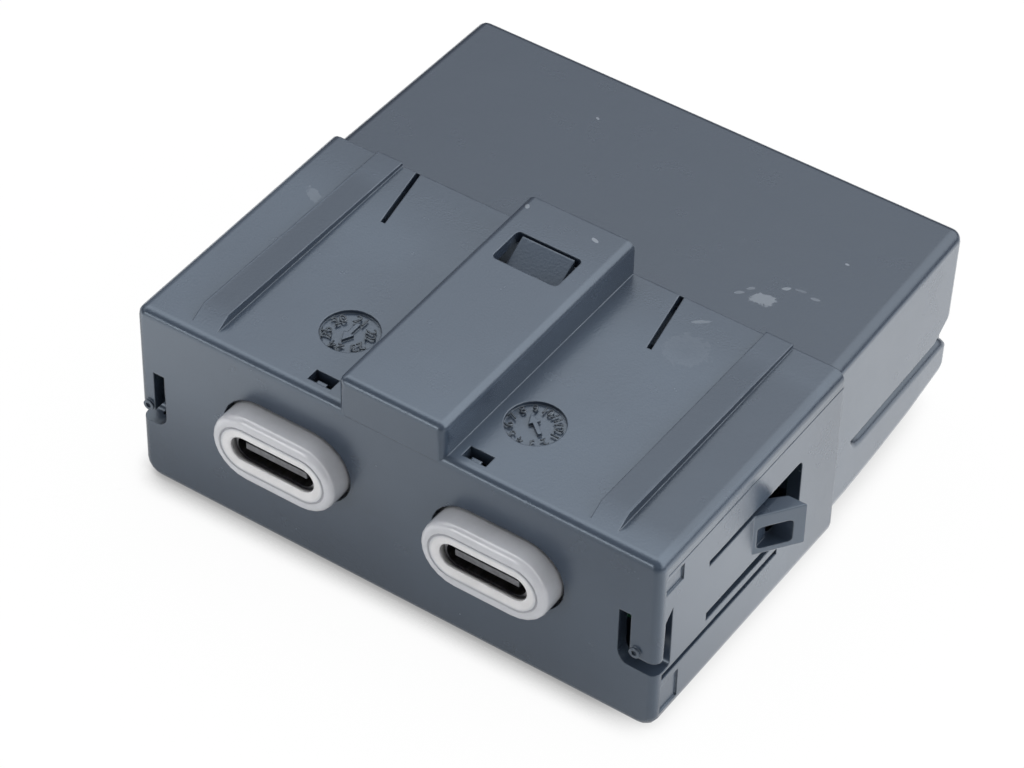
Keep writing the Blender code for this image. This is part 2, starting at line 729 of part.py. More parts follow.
def recess_section(side, y, top, floor, depth, lip):
    """Section of the side recess: a sharp upper edge, a flat back and a rounded lower lip."""
    wall = housing_half(min(y, REAR))
    points = [(wall + THROUGH, top), (wall - depth, top)]
    points += arc(wall - lip, floor - lip, lip, 90, 0)
    points += [(wall + THROUGH, floor - lip)]
    return [(side * x, y, z) for x, z in points]


def side_recess(side):
    """Cutter for the long recess: a pointed oval nose in front and a flare where it leaves at the rear."""
    start = FRONT + RECESS_START
    end = rear_at(RECESS_BOTTOM)
    top = RECESS_BOTTOM + RECESS_HEIGHT
    stations = []
    for share in (0.02, 0.12, 0.3, 0.6, 1.0):
        grown = math.sqrt(1 - (1 - share) ** 2)
        lip = RECESS_LIP * grown
        floor = top - RECESS_HEIGHT * grown + lip
        stations.append(recess_section(side, start + RECESS_NOSE * share, top, floor,
                                       max(RECESS_DEPTH * grown, lip * 1.05), lip))
    for back in (FLARE_LENGTH, SHOULDER_RADIUS, SHOULDER_RADIUS * 0.6, SHOULDER_RADIUS * 0.25, 0.0, -THROUGH):
        y = end - back
        share = min(1.0, 1 - back / FLARE_LENGTH)
        beyond = min(max(0.0, SHOULDER_RADIUS - back), SHOULDER_RADIUS)
        drop = SHOULDER_RADIUS - math.sqrt(SHOULDER_RADIUS ** 2 - beyond ** 2)
        stations.append(recess_section(side, y, top + FLARE_HEIGHT * share, RECESS_BOTTOM + RECESS_LIP - drop,
                                       RECESS_DEPTH, RECESS_LIP))
    return loft("recess_" + str(side), stations)


def housing_block(mat):
    """The housing's outer block: the body's section, narrowing, with a rising belly and a drafted rear."""
    stations = []
    for share in (0.0, 1.0):
        y = HOUSING_FRONT + (REAR - BELLY_LENGTH - HOUSING_FRONT) * share
        stations.append([(x, y, z) for x, z in case_section(housing_half(y), STEP_BOTTOM, HOUSING_TOP)])
    for share in (0.3, 0.6):
        y = REAR - BELLY_LENGTH * (1 - share)
        low = STEP_BOTTOM + BELLY_RISE * share ** 1.5
        stations.append([(x, y, z) for x, z in case_section(housing_half(y), low, HOUSING_TOP)])
    for i in range(EDGE_STEPS + 1):
        angle = math.radians(90 * i / EDGE_STEPS)
        inset = FRONT_RADIUS * (1 - math.cos(angle))
        back = FRONT_RADIUS * (1 - math.sin(angle))
        section = case_section(housing_half(REAR), STEP_BOTTOM + BELLY_RISE, HOUSING_TOP, inset)
        stations.append([(x, rear_at(z) - back, z) for x, z in section])
    return loft("rear_housing", stations, mat)


def make_rear_housing(mat):
    """The rear moulding: a box open at the front, with a spigot that enters the sleeve."""
    housing = housing_block(mat)
    spigot = box("spigot", (-SPIGOT_HALF, HOUSING_FRONT - SPIGOT_LENGTH, SPIGOT_BOTTOM),
                 (SPIGOT_HALF, HOUSING_FRONT + HOUSING_WALL, SPIGOT_TOP))
    add(housing, spigot)
    inner_rear = REAR - REAR_DRAFT - HOUSING_WALL
    cavity = box("housing_cavity", (-INNER_HALF, HOUSING_FRONT - SPIGOT_LENGTH - THROUGH, INNER_BOTTOM),
                 (INNER_HALF, inner_rear, INNER_TOP))
    cut(housing, cavity)
    for side in (-1, 1):
        cut(housing, side_recess(side))
        x0, x1 = side_span(side, BOARD_WIDTH / 2 + GAP - GUIDE_WIDTH, INNER_HALF + SPIGOT_WALL / 2)
        start = HOUSING_FRONT - SPIGOT_LENGTH
        stop = inner_rear + HOUSING_WALL / 2
        add(housing,
            box("guide_low_" + str(side), (x0, start, BOARD_BOTTOM - GAP - GUIDE_HEIGHT),
                (x1, stop, BOARD_BOTTOM - GAP)),
            box("guide_high_" + str(side), (x0, start, BOARD_TOP + GAP),
                (x1, stop, BOARD_TOP + GAP + GUIDE_HEIGHT)))
    nose_rear = FRONT + RIB_WINDOW_FRONT + RIB_WINDOW_LENGTH - NOSE_REAR_GAP
    nose_front = nose_rear - NOSE_LENGTH
    nose_top = RIB_TOP - NOSE_SINK
    profile = [(nose_front, SPIGOT_TOP - TONGUE_THICKNESS), (nose_rear, SPIGOT_TOP - TONGUE_THICKNESS),
               (nose_rear, nose_top), (nose_front, nose_top - NOSE_RISE)]
    start = HOUSING_FRONT - SPIGOT_LENGTH
    add(housing,
        box("snap_tongue",
            (RIB_WINDOW_X - NOSE_WIDTH / 2, start - NOSE_TONGUE_LENGTH, SPIGOT_TOP - TONGUE_THICKNESS),
            (RIB_WINDOW_X + NOSE_WIDTH / 2, start + SPIGOT_WALL, SPIGOT_TOP)),
        prism("nose", profile, 0, RIB_WINDOW_X - NOSE_WIDTH / 2, RIB_WINDOW_X + NOSE_WIDTH / 2))
    for side in (-1, 1):
        x0, x1 = side_span(side, LATCH_X - LATCH_WIDTH / 2 + GAP, LATCH_X + LATCH_WIDTH / 2 - GAP)
        catch_rear = FRONT + LATCH_FRONT + LATCH_LENGTH - GAP
        inside = SPIGOT_BOTTOM + SPIGOT_WALL / 2
        catch_front = FRONT + LATCH_FRONT + GAP
        wedge = [(catch_rear, inside), (catch_rear, LATCH_BOTTOM), (catch_front, SPIGOT_BOTTOM),
                 (catch_front, inside)]
        add(housing, prism("catch_" + str(side), wedge, 0, x0, x1))
    header_half = HEADER_WIDTH / 2 + GAP
    low = BOARD_TOP
    cut(housing, box("header_hole", (-header_half, inner_rear - THROUGH, low),
                     (header_half, REAR + THROUGH, low + HEADER_HEIGHT + 2 * GAP)))
    return housing


def surround_ring(bm, width, height, y):
    points = obround(width, height)
    return [bm.verts.new((u, y, PORT_Z + v)) for u, v in points]


def make_surround(name, side, mat):
    """A translucent port surround: a turned-looking ring lofted through slot-shaped sections."""
    face = FRONT - PORT_PROUD
    steps = 4
    rings = []
    bm = bmesh.new()

    def ring(outset_w, outset_h, y):
        rings.append(surround_ring(bm, outset_w, outset_h, y))

    flange_back = WALL_BACK + GAP + FLANGE_THICKNESS
    flange_w = SURROUND_WIDTH + 2 * FLANGE_RIM + 2 * GAP
    flange_h = SURROUND_HEIGHT + 2 * FLANGE_RIM + 2 * GAP
    bore_w = SHELL_WIDTH + 2 * GAP
    bore_h = SHELL_HEIGHT + 2 * GAP
    ring(bore_w, bore_h, flange_back)
    ring(flange_w, flange_h, flange_back)
    ring(flange_w, flange_h, WALL_BACK + GAP)
    ring(SURROUND_WIDTH, SURROUND_HEIGHT, WALL_BACK + GAP)
    for i in range(steps + 1):
        angle = math.radians(90 * i / steps)
        inset = SURROUND_EDGE * (1 - math.cos(angle))
        back = SURROUND_EDGE * (1 - math.sin(angle))
        ring(SURROUND_WIDTH - 2 * inset, SURROUND_HEIGHT - 2 * inset, face + back)
    groove_w = MOUTH_WIDTH + 2 * FACE_GROOVE_OFFSET
    groove_h = MOUTH_HEIGHT + 2 * FACE_GROOVE_OFFSET
    ring(groove_w + FACE_GROOVE_WIDTH, groove_h + FACE_GROOVE_WIDTH, face)
    ring(groove_w, groove_h, face + FACE_GROOVE_DEPTH)
    ring(groove_w - FACE_GROOVE_WIDTH, groove_h - FACE_GROOVE_WIDTH, face)
    ring(MOUTH_WIDTH + 2 * MOUTH_BEVEL, MOUTH_HEIGHT + 2 * MOUTH_BEVEL, face)
    ring(MOUTH_WIDTH, MOUTH_HEIGHT, face + MOUTH_BEVEL / 2)
    ring(MOUTH_WIDTH, MOUTH_HEIGHT, face + LIP)
    ring(bore_w, bore_h, face + LIP)
    count = len(rings[0])
    for index, current in enumerate(rings):
        following = rings[(index + 1) % len(rings)]
        for i in range(count):
            j = (i + 1) % count
            bm.faces.new((current[i], current[j], following[j], following[i]))
    for vert in bm.verts:
        vert.co.x += side * PORT_X
    surround = new_object(name, bm, mat)
    x_arm = side * (PORT_X + LIGHT_ARM_X)
    arm = box(name + "_arm", (x_arm - LIGHT_ARM_WIDTH / 2, flange_back - FLANGE_THICKNESS / 2, SEAT_Z),
              (x_arm + LIGHT_ARM_WIDTH / 2, flange_back + LIGHT_ARM_LENGTH, SEAT_Z + LIGHT_ARM_HEIGHT))
    add(surround, arm)
    return surround


def make_shell(name, side, mat):
    """The receptacle's drawn steel shell, open at both ends."""
    centre = (side * PORT_X, PORT_Z)
    outer = obround(SHELL_WIDTH, SHELL_HEIGHT, centre)
    inner = obround(SHELL_WIDTH - 2 * SHELL_WALL, SHELL_HEIGHT - 2 * SHELL_WALL, centre)
    bm = bmesh.new()
    rings = []
    for outline, y in ((outer, SHELL_FRONT), (outer, SHELL_FRONT + SHELL_LENGTH),
                       (inner, SHELL_FRONT + SHELL_LENGTH), (inner, SHELL_FRONT)):
        rings.append([bm.verts.new((u, y, v)) for u, v in outline])
    count = len(outer)
    for index, current in enumerate(rings):
        following = rings[(index + 1) % len(rings)]
        for i in range(count):
            j = (i + 1) % count
            bm.faces.new((current[i], current[j], following[j], following[i]))
    return new_object(name, bm, mat)


def make_blade(name, side, mat):
    """The plastic insulator with the thin contact blade that stands in the shell."""
    x = side * PORT_X
    back = SHELL_FRONT + SHELL_LENGTH
    width = SHELL_WIDTH - 2 * SHELL_WALL - 2 * GAP
    height = SHELL_HEIGHT - 2 * SHELL_WALL - 2 * GAP
    insulator = prism(name, obround(width, height, (x, PORT_Z), steps=8), 1, back - INSULATOR_LENGTH,
                      back + INSULATOR_TAIL, mat)
    blade = box(name + "_blade",
                (x - BLADE_WIDTH / 2, SHELL_FRONT + BLADE_SETBACK, PORT_Z - BLADE_THICKNESS / 2),
                (x + BLADE_WIDTH / 2, back - INSULATOR_LENGTH / 2, PORT_Z + BLADE_THICKNESS / 2))
    add(insulator, blade)
    return insulator


def make_board(mat):
    outline = []
    y0, y1 = FRONT + BOARD_FRONT, FRONT + BOARD_END
    half = BOARD_WIDTH / 2
    for cx, cy, start in ((half, y1, 0), (-half, y1, 90), (-half, y0, 180), (half, y0, 270)):
        px = cx - math.copysign(BOARD_CORNER, cx)
        py = cy - BOARD_CORNER if cy == y1 else cy + BOARD_CORNER
        for i in range(EDGE_STEPS + 1):
            angle = math.radians(start + 90 * i / EDGE_STEPS)
            outline.append((px + BOARD_CORNER * math.cos(angle), py + BOARD_CORNER * math.sin(angle)))
    return prism("circuit_board", outline, 2, BOARD_BOTTOM, BOARD_TOP, mat)


def chip(name, width, length, height, mat, chamfer=0.0):
    """A flat part whose origin is the middle of its underside."""
    bm = bmesh.new()
    box_mesh(bm, (-width / 2, -length / 2, 0.0), (width / 2, length / 2, height))
    if chamfer:
        bevel_edges(bm, lambda a, b: a.z > height / 2 and b.z > height / 2, chamfer, 1)
    return new_object(name, bm, mat)


def seat(obj, x, y):
    """Set a part on the board at a distance behind the front face."""
    obj.location = (x, FRONT + y, SEAT_Z)
    return obj


def make_inductor(name, mat):
    """A moulded power choke: a block with rounded corners."""
    half = INDUCTOR_SIDE / 2
    bm = bmesh.new()
    box_mesh(bm, (-half, -half, 0.0), (half, half, INDUCTOR_HEIGHT))
    bevel_edges(bm, lambda a, b: abs(a.z - b.z) > INDUCTOR_HEIGHT / 2, INDUCTOR_CORNER, EDGE_STEPS)
    bevel_edges(bm, lambda a, b: a.z > INDUCTOR_HEIGHT - 1e-6 and b.z > INDUCTOR_HEIGHT - 1e-6,
                INDUCTOR_CHAMFER, 1)
    return new_object(name, bm, mat)


def make_capacitor(name, mat):
    """An aluminium can, turned about its axis: crimp groove near the foot and a rounded top."""
    r, h = CAPACITOR_RADIUS, CAPACITOR_HEIGHT
    edge, crimp = r * 0.12, r * 0.10
    profile = [(0.0, 0.0), (r, 0.0), (r, h * 0.14), (r - crimp, h * 0.20), (r, h * 0.26), (r, h - edge),
               (r - edge, h), (0.0, h)]
    bm = bmesh.new()
    verts = [bm.verts.new((x, 0.0, z)) for x, z in profile]
    edges = [bm.edges.new(pair) for pair in zip(verts, verts[1:])]
    bmesh.ops.spin(bm, geom=verts + edges, axis=(0.0, 0.0, 1.0), cent=(0.0, 0.0, 0.0),
                   steps=CAPACITOR_STEPS, angle=2 * math.pi)
    bmesh.ops.remove_doubles(bm, verts=bm.verts, dist=1e-6)
    return new_object(name, bm, mat)


def make_header(mat):
    """The connector that the vehicle's harness plugs into, open at the rear."""
    out = REAR + 0.0
    low = BOARD_TOP + GAP
    back = REAR - REAR_DRAFT + HEADER_OUT
    half = HEADER_WIDTH / 2
    body = box("rear_connector", (-half, back - HEADER_LENGTH, low), (half, back, low + HEADER_HEIGHT), mat)
    cavity = bmesh.new()
    box_mesh(cavity, (-half + HEADER_WALL, back - HEADER_LENGTH + HEADER_BACK, low + HEADER_WALL),
             (half - HEADER_WALL, out + THROUGH, low + HEADER_HEIGHT - HEADER_WALL))
    bevel_edges(cavity, lambda a, b: abs(a.y - b.y) > HEADER_LENGTH / 2, CAVITY_CORNER, 3)
    cut(body, new_object("header_cavity", cavity))
    side = PIN_SIDE / 2 + GAP
    z = low + HEADER_HEIGHT / 2
    bores = bmesh.new()
    for x in pin_places():
        box_mesh(bores, (x - side, back - HEADER_LENGTH - THROUGH, z - side),
                 (x + side, back - HEADER_LENGTH + HEADER_BACK + THROUGH, z + side))
    cut(body, new_object("pin_bores", bores))
    return body


def pin_places():
    return [(i - (PIN_COUNT - 1) / 2) * PIN_PITCH for i in range(PIN_COUNT)]


def make_pin(name, mat):
    """A bent square pin: through the connector's back wall and down to the board."""
    z = HEADER_HEIGHT / 2
    half = PIN_SIDE / 2
    tip = PIN_TAIL + HEADER_BACK + PIN_REACH
    profile = [(-half, 0.0), (half, 0.0), (half, z - half), (tip, z - half), (tip, z + half),
               (-half, z + half)]
    return prism(name, profile, 0, -half, half, mat)


def build():
    clear_scene()
    mats = make_materials()
    make_front_sleeve(mats["case_plastic"])
    make_rear_housing(mats["case_plastic"])
    make_board(mats["board_green"])
    for tag, side in (("left", -1), ("right", 1)):
        x = side * PORT_X
        make_surround("port_surround_" + tag, side, mats["light_guide"])
        make_shell("usb_shell_" + tag, side, mats["shell_steel"])
        make_blade("contact_blade_" + tag, side, mats["blade_plastic"])
        led_y = SLEEVE_WALL + GAP + FLANGE_THICKNESS + LIGHT_ARM_LENGTH + GAP + LED_LENGTH / 2
        seat(chip("guide_led_" + tag, LED_WIDTH, LED_LENGTH, LED_HEIGHT, mats["led_white"]),
             side * (PORT_X + LIGHT_ARM_X), led_y)
        seat(chip("charge_controller_" + tag, CONTROLLER_SIDE, CONTROLLER_SIDE, CONTROLLER_HEIGHT,
                  mats["chip_black"], 0.0001), x, CONTROLLER_Y)
        seat(make_inductor("power_inductor_" + tag, mats["ferrite_grey"]), x, INDUCTOR_Y)
        low = INNER_BOTTOM + 2 * GAP + SPREADER_THICKNESS
        box("thermal_pad_" + tag, (x - PAD_SIDE / 2, FRONT + PAD_Y - PAD_SIDE / 2, low),
            (x + PAD_SIDE / 2, FRONT + PAD_Y + PAD_SIDE / 2, BOARD_BOTTOM - GAP), mats["pad_grey"])
    box("heat_spreader", (-SPREADER_WIDTH / 2, FRONT + PAD_Y - SPREADER_LENGTH / 2, INNER_BOTTOM + GAP),
        (SPREADER_WIDTH / 2, FRONT + PAD_Y + SPREADER_LENGTH / 2, INNER_BOTTOM + GAP + SPREADER_THICKNESS),
        mats["can_aluminium"])
    seat(chip("microcontroller", CHIP_SIDE, CHIP_SIDE, CHIP_HEIGHT, mats["chip_black"], 0.0001), 0.0, CHIP_Y)
    seat(chip("crystal", CRYSTAL_WIDTH, CRYSTAL_LENGTH, CRYSTAL_HEIGHT, mats["can_aluminium"], 0.0002),
         0.0, CRYSTAL_Y)
    seat(chip("choke", CHOKE_WIDTH, CHOKE_LENGTH, CHOKE_HEIGHT, mats["ferrite_grey"], 0.0003), 0.0, CHOKE_Y)
    seat(chip("input_fuse", FUSE_WIDTH, FUSE_LENGTH, FUSE_HEIGHT, mats["ceramic_tan"], 0.0001), 0.0, FUSE_Y)
    repeat(lambda name: chip(name, TRANSISTOR_WIDTH, TRANSISTOR_LENGTH, TRANSISTOR_HEIGHT,
                             mats["chip_black"], 0.0001),
           "power_transistor",
           [(side * (PORT_X + shift * TRANSISTOR_PITCH / 2), FRONT + TRANSISTOR_Y, SEAT_Z)
            for side in (-1, 1) for shift in (-1, 1)])
    repeat(lambda name: make_capacitor(name, mats["can_aluminium"]), "input_capacitor",
           [(side * (CAPACITOR_INNER + row * CAPACITOR_PITCH), FRONT + CAPACITOR_Y, SEAT_Z)
            for side in (-1, 1) for row in (0, 1)])
    repeat(lambda name: chip(name, CERAMIC_WIDTH, CERAMIC_LENGTH, CERAMIC_HEIGHT, mats["ceramic_tan"]),
           "ceramic_capacitor",
           [(side * (PORT_X + INDUCTOR_SIDE / 2 + CERAMIC_WIDTH), FRONT + CERAMIC_Y + row * CERAMIC_PITCH,
             SEAT_Z) for side in (-1, 1) for row in (0, 1)])
    make_header(mats["header_black"])
    wall = REAR - REAR_DRAFT + HEADER_OUT - HEADER_LENGTH
    repeat(lambda name: make_pin(name, mats["pin_tin"]), "connector_pin",
           [(x, wall - PIN_TAIL, SEAT_Z) for x in pin_places()])


build()
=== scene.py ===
"""Visual model of a two-port USB-C socket for a car's console, laid out as a Blender add-on."""

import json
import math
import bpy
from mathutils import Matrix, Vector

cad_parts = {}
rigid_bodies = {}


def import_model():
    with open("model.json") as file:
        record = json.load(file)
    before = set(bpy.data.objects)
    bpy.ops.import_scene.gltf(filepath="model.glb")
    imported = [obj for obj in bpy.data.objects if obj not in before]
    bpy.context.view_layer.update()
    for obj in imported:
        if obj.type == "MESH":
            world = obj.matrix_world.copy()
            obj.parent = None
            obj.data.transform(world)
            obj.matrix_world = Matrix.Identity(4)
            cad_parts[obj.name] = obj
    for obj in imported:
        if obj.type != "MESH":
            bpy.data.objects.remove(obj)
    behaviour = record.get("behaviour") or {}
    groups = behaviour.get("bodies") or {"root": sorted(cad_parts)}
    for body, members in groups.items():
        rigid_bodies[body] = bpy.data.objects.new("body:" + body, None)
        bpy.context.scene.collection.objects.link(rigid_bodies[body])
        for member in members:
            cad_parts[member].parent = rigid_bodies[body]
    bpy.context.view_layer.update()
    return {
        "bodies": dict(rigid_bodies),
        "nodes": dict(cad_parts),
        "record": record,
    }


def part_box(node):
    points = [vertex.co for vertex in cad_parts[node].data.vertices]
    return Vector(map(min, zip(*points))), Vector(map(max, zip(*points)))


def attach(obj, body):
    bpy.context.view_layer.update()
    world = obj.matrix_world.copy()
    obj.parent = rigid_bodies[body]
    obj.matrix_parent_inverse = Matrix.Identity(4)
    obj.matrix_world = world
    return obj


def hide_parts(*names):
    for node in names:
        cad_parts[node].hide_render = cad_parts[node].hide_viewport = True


bl_info = {
    "name": "Car USB Socket",
    "version": (1, 0, 0),
    "blender": (4, 5, 0),
    "location": "View3D > Sidebar > USB Socket",
    "description": "Builds and finishes a console USB-C charging module",
    "category": "Object",
}

import bmesh
import bpy
from mathutils import Matrix, Vector

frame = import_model()
NODES = frame["nodes"]
BODY = next(iter(frame["bodies"]))

# Places read from the frame
SLEEVE_LOW, SLEEVE_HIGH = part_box("front_sleeve")
FRONT = SLEEVE_LOW[1]
SLEEVE_END = SLEEVE_HIGH[1]

SIDES = ("left", "right")

# Meshes
MERGE_DISTANCE = 0.000002
SAME_PLANE = 0.99999
FLAT_ANGLE = math.radians(0.2)
SMOOTH_ANGLE = math.radians(32)
LARGEST_FACE = 4

# Date wheels: piece, middle, figures, angle of the first figure, radius of the ring, height of a figure
LEFT_WHEEL = (-0.01041, FRONT + 0.0084, 0.0208)
RIGHT_WHEEL = (0.00953, FRONT + 0.00823, 0.0208)
WHEELS = (
    ("wheel_figures_left", LEFT_WHEEL, [str(20 + i) for i in range(6)], 150.0, 0.00192, 0.00142),
    ("wheel_figures_right", RIGHT_WHEEL, [str(i + 1) for i in range(12)], 0.0, 0.00214, 0.00118),
)
WHEEL_DEPTH = 0.00035
FIGURE_THICKNESS = 0.00014
FIGURE_RISE = 0.00005
FIGURE_STEPS = 3

# Contacts: their level over and under a blade's middle, their distance from its front and their size
BLADE_HALF = 0.00035
CONTACT_SETBACK = 0.0024
CONTACT_SIZE = (0.00026, 0.0038, 0.00005)

# Marks of handling on top: place behind the front face, half width and depth, turn, hollow share, amount
SLEEVE_MARKS = (
    ((-0.0241, 0.0216), (0.00115, 0.00060), 35.0, 0.0, 0.16),
    ((0.0151, 0.0238), (0.0022, 0.0022), 0.0, 0.95, 0.06),
    ((0.0141, 0.0277), (0.00090, 0.00022), -35.0, 0.0, 0.25),
    ((0.0026, 0.0279), (0.00045, 0.00020), 20.0, 0.0, 0.55),
    ((-0.0049, 0.0282), (0.00035, 0.00022), 60.0, 0.0, 0.45),
)
HOUSING_MARKS = (
    ((0.0169, 0.0339), (0.00125, 0.00080), -20.0, 0.0, 0.40),
    ((0.0146, 0.0334), (0.00052, 0.00020), -40.0, 0.0, 0.26),
    ((0.0152, 0.0345), (0.00046, 0.00018), -45.0, 0.0, 0.26),
    ((0.0178, 0.0363), (0.00042, 0.00020), -35.0, 0.0, 0.42),
    ((0.0190, 0.0368), (0.00055, 0.00016), -10.0, 0.0, 0.18),
    ((0.0207, 0.0366), (0.00048, 0.00018), -10.0, 0.0, 0.26),
    ((0.0206, 0.0423), (0.00022, 0.00014), 0.0, 0.0, 0.55),
    ((-0.0092, 0.0463), (0.00022, 0.00014), 30.0, 0.0, 0.45),
)
MARK_LEVEL = 0.0222
MARK_HEIGHT = 0.0060
LEAST_HOLLOW = 0.001

# Case plastic: scales of its noises per metre, amounts of wear and painted edge highlight, range of its
# polish, and its grain
PATCH_SCALE, POLISH_SCALE, WAVE_SCALE = 55.0, 240.0, 160.0
WEAR_AND_HIGHLIGHT_SCALE, FLECK_SCALE, HANDLED_SCALE = 420.0, 900.0, 70.0
RUB_SCALE, RUB_STRETCH, RUB_DIRECTION = 1500.0, 0.10, math.radians(28)
RAGGED_SCALE, RAGGEDNESS = 1600.0, 1.3
WEAR_AND_HIGHLIGHT_REACH, WEAR_AND_HIGHLIGHT_AMOUNT = 1.5, 0.35
FLECK_AMOUNT, RUB_AMOUNT = 0.16, 0.05
SMOOTHER, ROUGHER = 0.05, 0.08
CASE_TONE, FIGURE_PAINTED_SHADE_TONE = 0.95, 0.35
CASE_GRAIN_DEPTH, CASE_WAVE_DEPTH = 0.000015, 0.000016
EDGE_SAMPLES = 6

# Painted shade, where the case's colour is darkened for less light on it: soft steps along an axis, from none
# to full
RAIL_INSIDE, RAIL_OUTSIDE = (0.0196, 0.0200), (0.0222, 0.0226)
PLATE_LEVEL = (0.0200, 0.0206)
STRIP_START, STRIP_END = (FRONT + 0.0012, FRONT + 0.0050), (SLEEVE_END - 0.0060, SLEEVE_END)
END_FADE = (SLEEVE_END - 0.0100, SLEEVE_END)
BEHIND_SLEEVE = (SLEEVE_END - 0.0004, SLEEVE_END)
RECESS_INSIDE, RECESS_OUTSIDE = (0.0240, 0.0245), (0.0262, 0.0268)
RECESS_BOTTOM, RECESS_TOP = (0.0066, 0.0072), (0.0090, 0.0093)
STRIP_PAINTED_SHADE, END_PAINTED_SHADE, PAINTED_SHADE_AMOUNT = 0.85, 0.55, 0.92
PAINTED_SHADE_COLOUR = (0.005, 0.010, 0.023)

# Port surrounds: how far a port stands from the middle, half the length of its mouth's middle line,
# distances from that line, and colours
PORT_OFFSET = 0.01135
MOUTH_HALF_LINE = 0.0032
LIP_EDGE = (0.00205, 0.00235)
SEAM_INSIDE, SEAM_OUTSIDE = (0.00228, 0.00240), (0.00248, 0.00262)
SEAM_AMOUNT, SEAM_COLOUR = 0.45, (0.30, 0.31, 0.34)
CLOUD_SCALE, RING_CLOUDS, RIM_CLOUDS = 500.0, 1.10, 1.08

# Metals, solids and the board
DRAWN_SCALE, DRAWN_STRETCH, DRAWN_SHADE = 2500.0, 0.05, 0.75
DRAWN_SMOOTHER, DRAWN_ROUGHER = 0.08, 0.10
SPECKLE_SCALE, SPECKLE_CONTRAST, FERRITE_SCALE = 1800.0, 0.25, 2600.0
CELL_SCALE, TRACE_WIDTH = 420.0, 0.03
MASK_DARK, MASK_LIGHT, TRACE_GREEN = (0.010, 0.085, 0.038), (0.012, 0.100, 0.045), (0.030, 0.170, 0.070)

# Floor: its place, where and how brightly glossy faces see it, its contact shadow, and its share of
# plain white for each kind of ray
FLOOR_REACH, FLOOR_GAP = 3.0, 0.0001
FLOOR_SLANT, FLOOR_BEHIND = 0.45, (-0.055, 0.015)
FLOOR_ACROSS, FLOOR_LEFT, FLOOR_RIGHT = (-0.060, 0.030), 1.75, 0.30
CLOSE_DEPTH, CLOSE_LEVEL, OPEN_LEVEL = 0.013, 0.36, 1.02
FLOOR_FAR, FAR_LEVEL = (0.09, 0.22), 0.1
SHADOW_REACH, SHADOW_AMOUNT, SHADOW_END, SHADOW_SAMPLES = 0.0034, 0.62, (0.020, 0.031), 8
CAMERA_SHARE, GLOSSY_SHARE, CLEAR_SHARE = 0.97, 0.85, 0.5

# Tent: its dark opening, its dark horizon, its slope of brightness and the window in front; three lamps
OPENING_DIRECTION, OPENING_EDGE = (0.15, -0.85, 0.50), (0.36, 0.66)
HORIZON, HORIZON_LEVEL = (0.05, 0.26), 0.04
TENT_SLOPE, TENT_LEVEL, TENT_LEAST, TENT_MOST = (2.2, -1.5, 4.0), 0.80, 0.45, 2.7
WINDOW_DIRECTION, WINDOW_EDGE = (-0.401, -0.902, 0.160), (0.970, 0.988)
KEY_PLACE, KEY_SIZE = (-0.22, 0.42, 0.60), (0.80, 0.60)
SIDE_PLACE, SIDE_SIZE = (0.85, 0.20, 0.35), (0.60, 0.50)
FRONT_PLACE, FRONT_SIZE = (-0.45, -0.75, 0.40), (0.60, 0.50)
LAMP_AIM = (0.0, 0.0, 0.01)
SENSOR_WIDTH = 36.0


def centre(node):
    """The middle of a CAD node's box."""
    low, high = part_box(node)
    return Vector([(a + b) / 2 for a, b in zip(low, high)])


# Settings

class MouldingSettings(bpy.types.PropertyGroup):
    colour: bpy.props.FloatVectorProperty(
        name="Case colour", description="Colour of the moulded case", subtype="COLOR", size=3,
        min=0.0, max=1.0, default=(0.036, 0.050, 0.074))
    shade: bpy.props.FloatVectorProperty(
        name="Patch colour", description="Darker colour in the moulding's soft patches", subtype="COLOR",
        size=3, min=0.0, max=1.0, default=(0.029, 0.040, 0.061))
    # The pale scuff colour also lies on rounded edges, partly as real rubbing and partly as a painted
    # highlight
    scuff: bpy.props.FloatVectorProperty(
        name="Scuff colour", description="Pale colour of rubbed edges and scuffs", subtype="COLOR", size=3,
        min=0.0, max=1.0, default=(0.22, 0.24, 0.27))
    sheen: bpy.props.FloatVectorProperty(
        name="Sheen colour", description="Tint of the case's reflections", subtype="COLOR", size=3,
        min=0.0, max=1.0, default=(0.76, 0.88, 1.0))
    roughness: bpy.props.FloatProperty(
        name="Roughness", description="Roughness of the case", default=0.24, min=0.0, max=1.0)
    grain: bpy.props.FloatProperty(
        name="Grain size", description="Size of the mould's texture", default=0.00022, min=0.00001,
        precision=6, subtype="DISTANCE", unit="LENGTH")
    edge: bpy.props.FloatProperty(
        name="Edge radius", description="Radius that softens every moulded edge", default=0.00016, min=0.0,
        precision=6, subtype="DISTANCE", unit="LENGTH")


class PortSettings(bpy.types.PropertyGroup):
    ring: bpy.props.FloatVectorProperty(
        name="Ring colour", description="Colour of the translucent surround", subtype="COLOR", size=3,
        min=0.0, max=1.0, default=(0.59, 0.59, 0.60))
    rim: bpy.props.FloatVectorProperty(
        name="Rim colour", description="Cooler colour of the surround's outer ring", subtype="COLOR",
        size=3, min=0.0, max=1.0, default=(0.45, 0.46, 0.49))
    contact: bpy.props.FloatVectorProperty(
        name="Contact colour", description="Colour of the plated contacts", subtype="COLOR", size=3,
        min=0.0, max=1.0, default=(0.83, 0.60, 0.24))
    contacts: bpy.props.IntProperty(
        name="Contacts", description="Contacts on each side of a blade", default=12, min=1, max=24)
    pitch: bpy.props.FloatProperty(
        name="Contact pitch", description="Distance from contact to contact", default=0.0005, min=0.0001,
        precision=5, subtype="DISTANCE", unit="LENGTH")


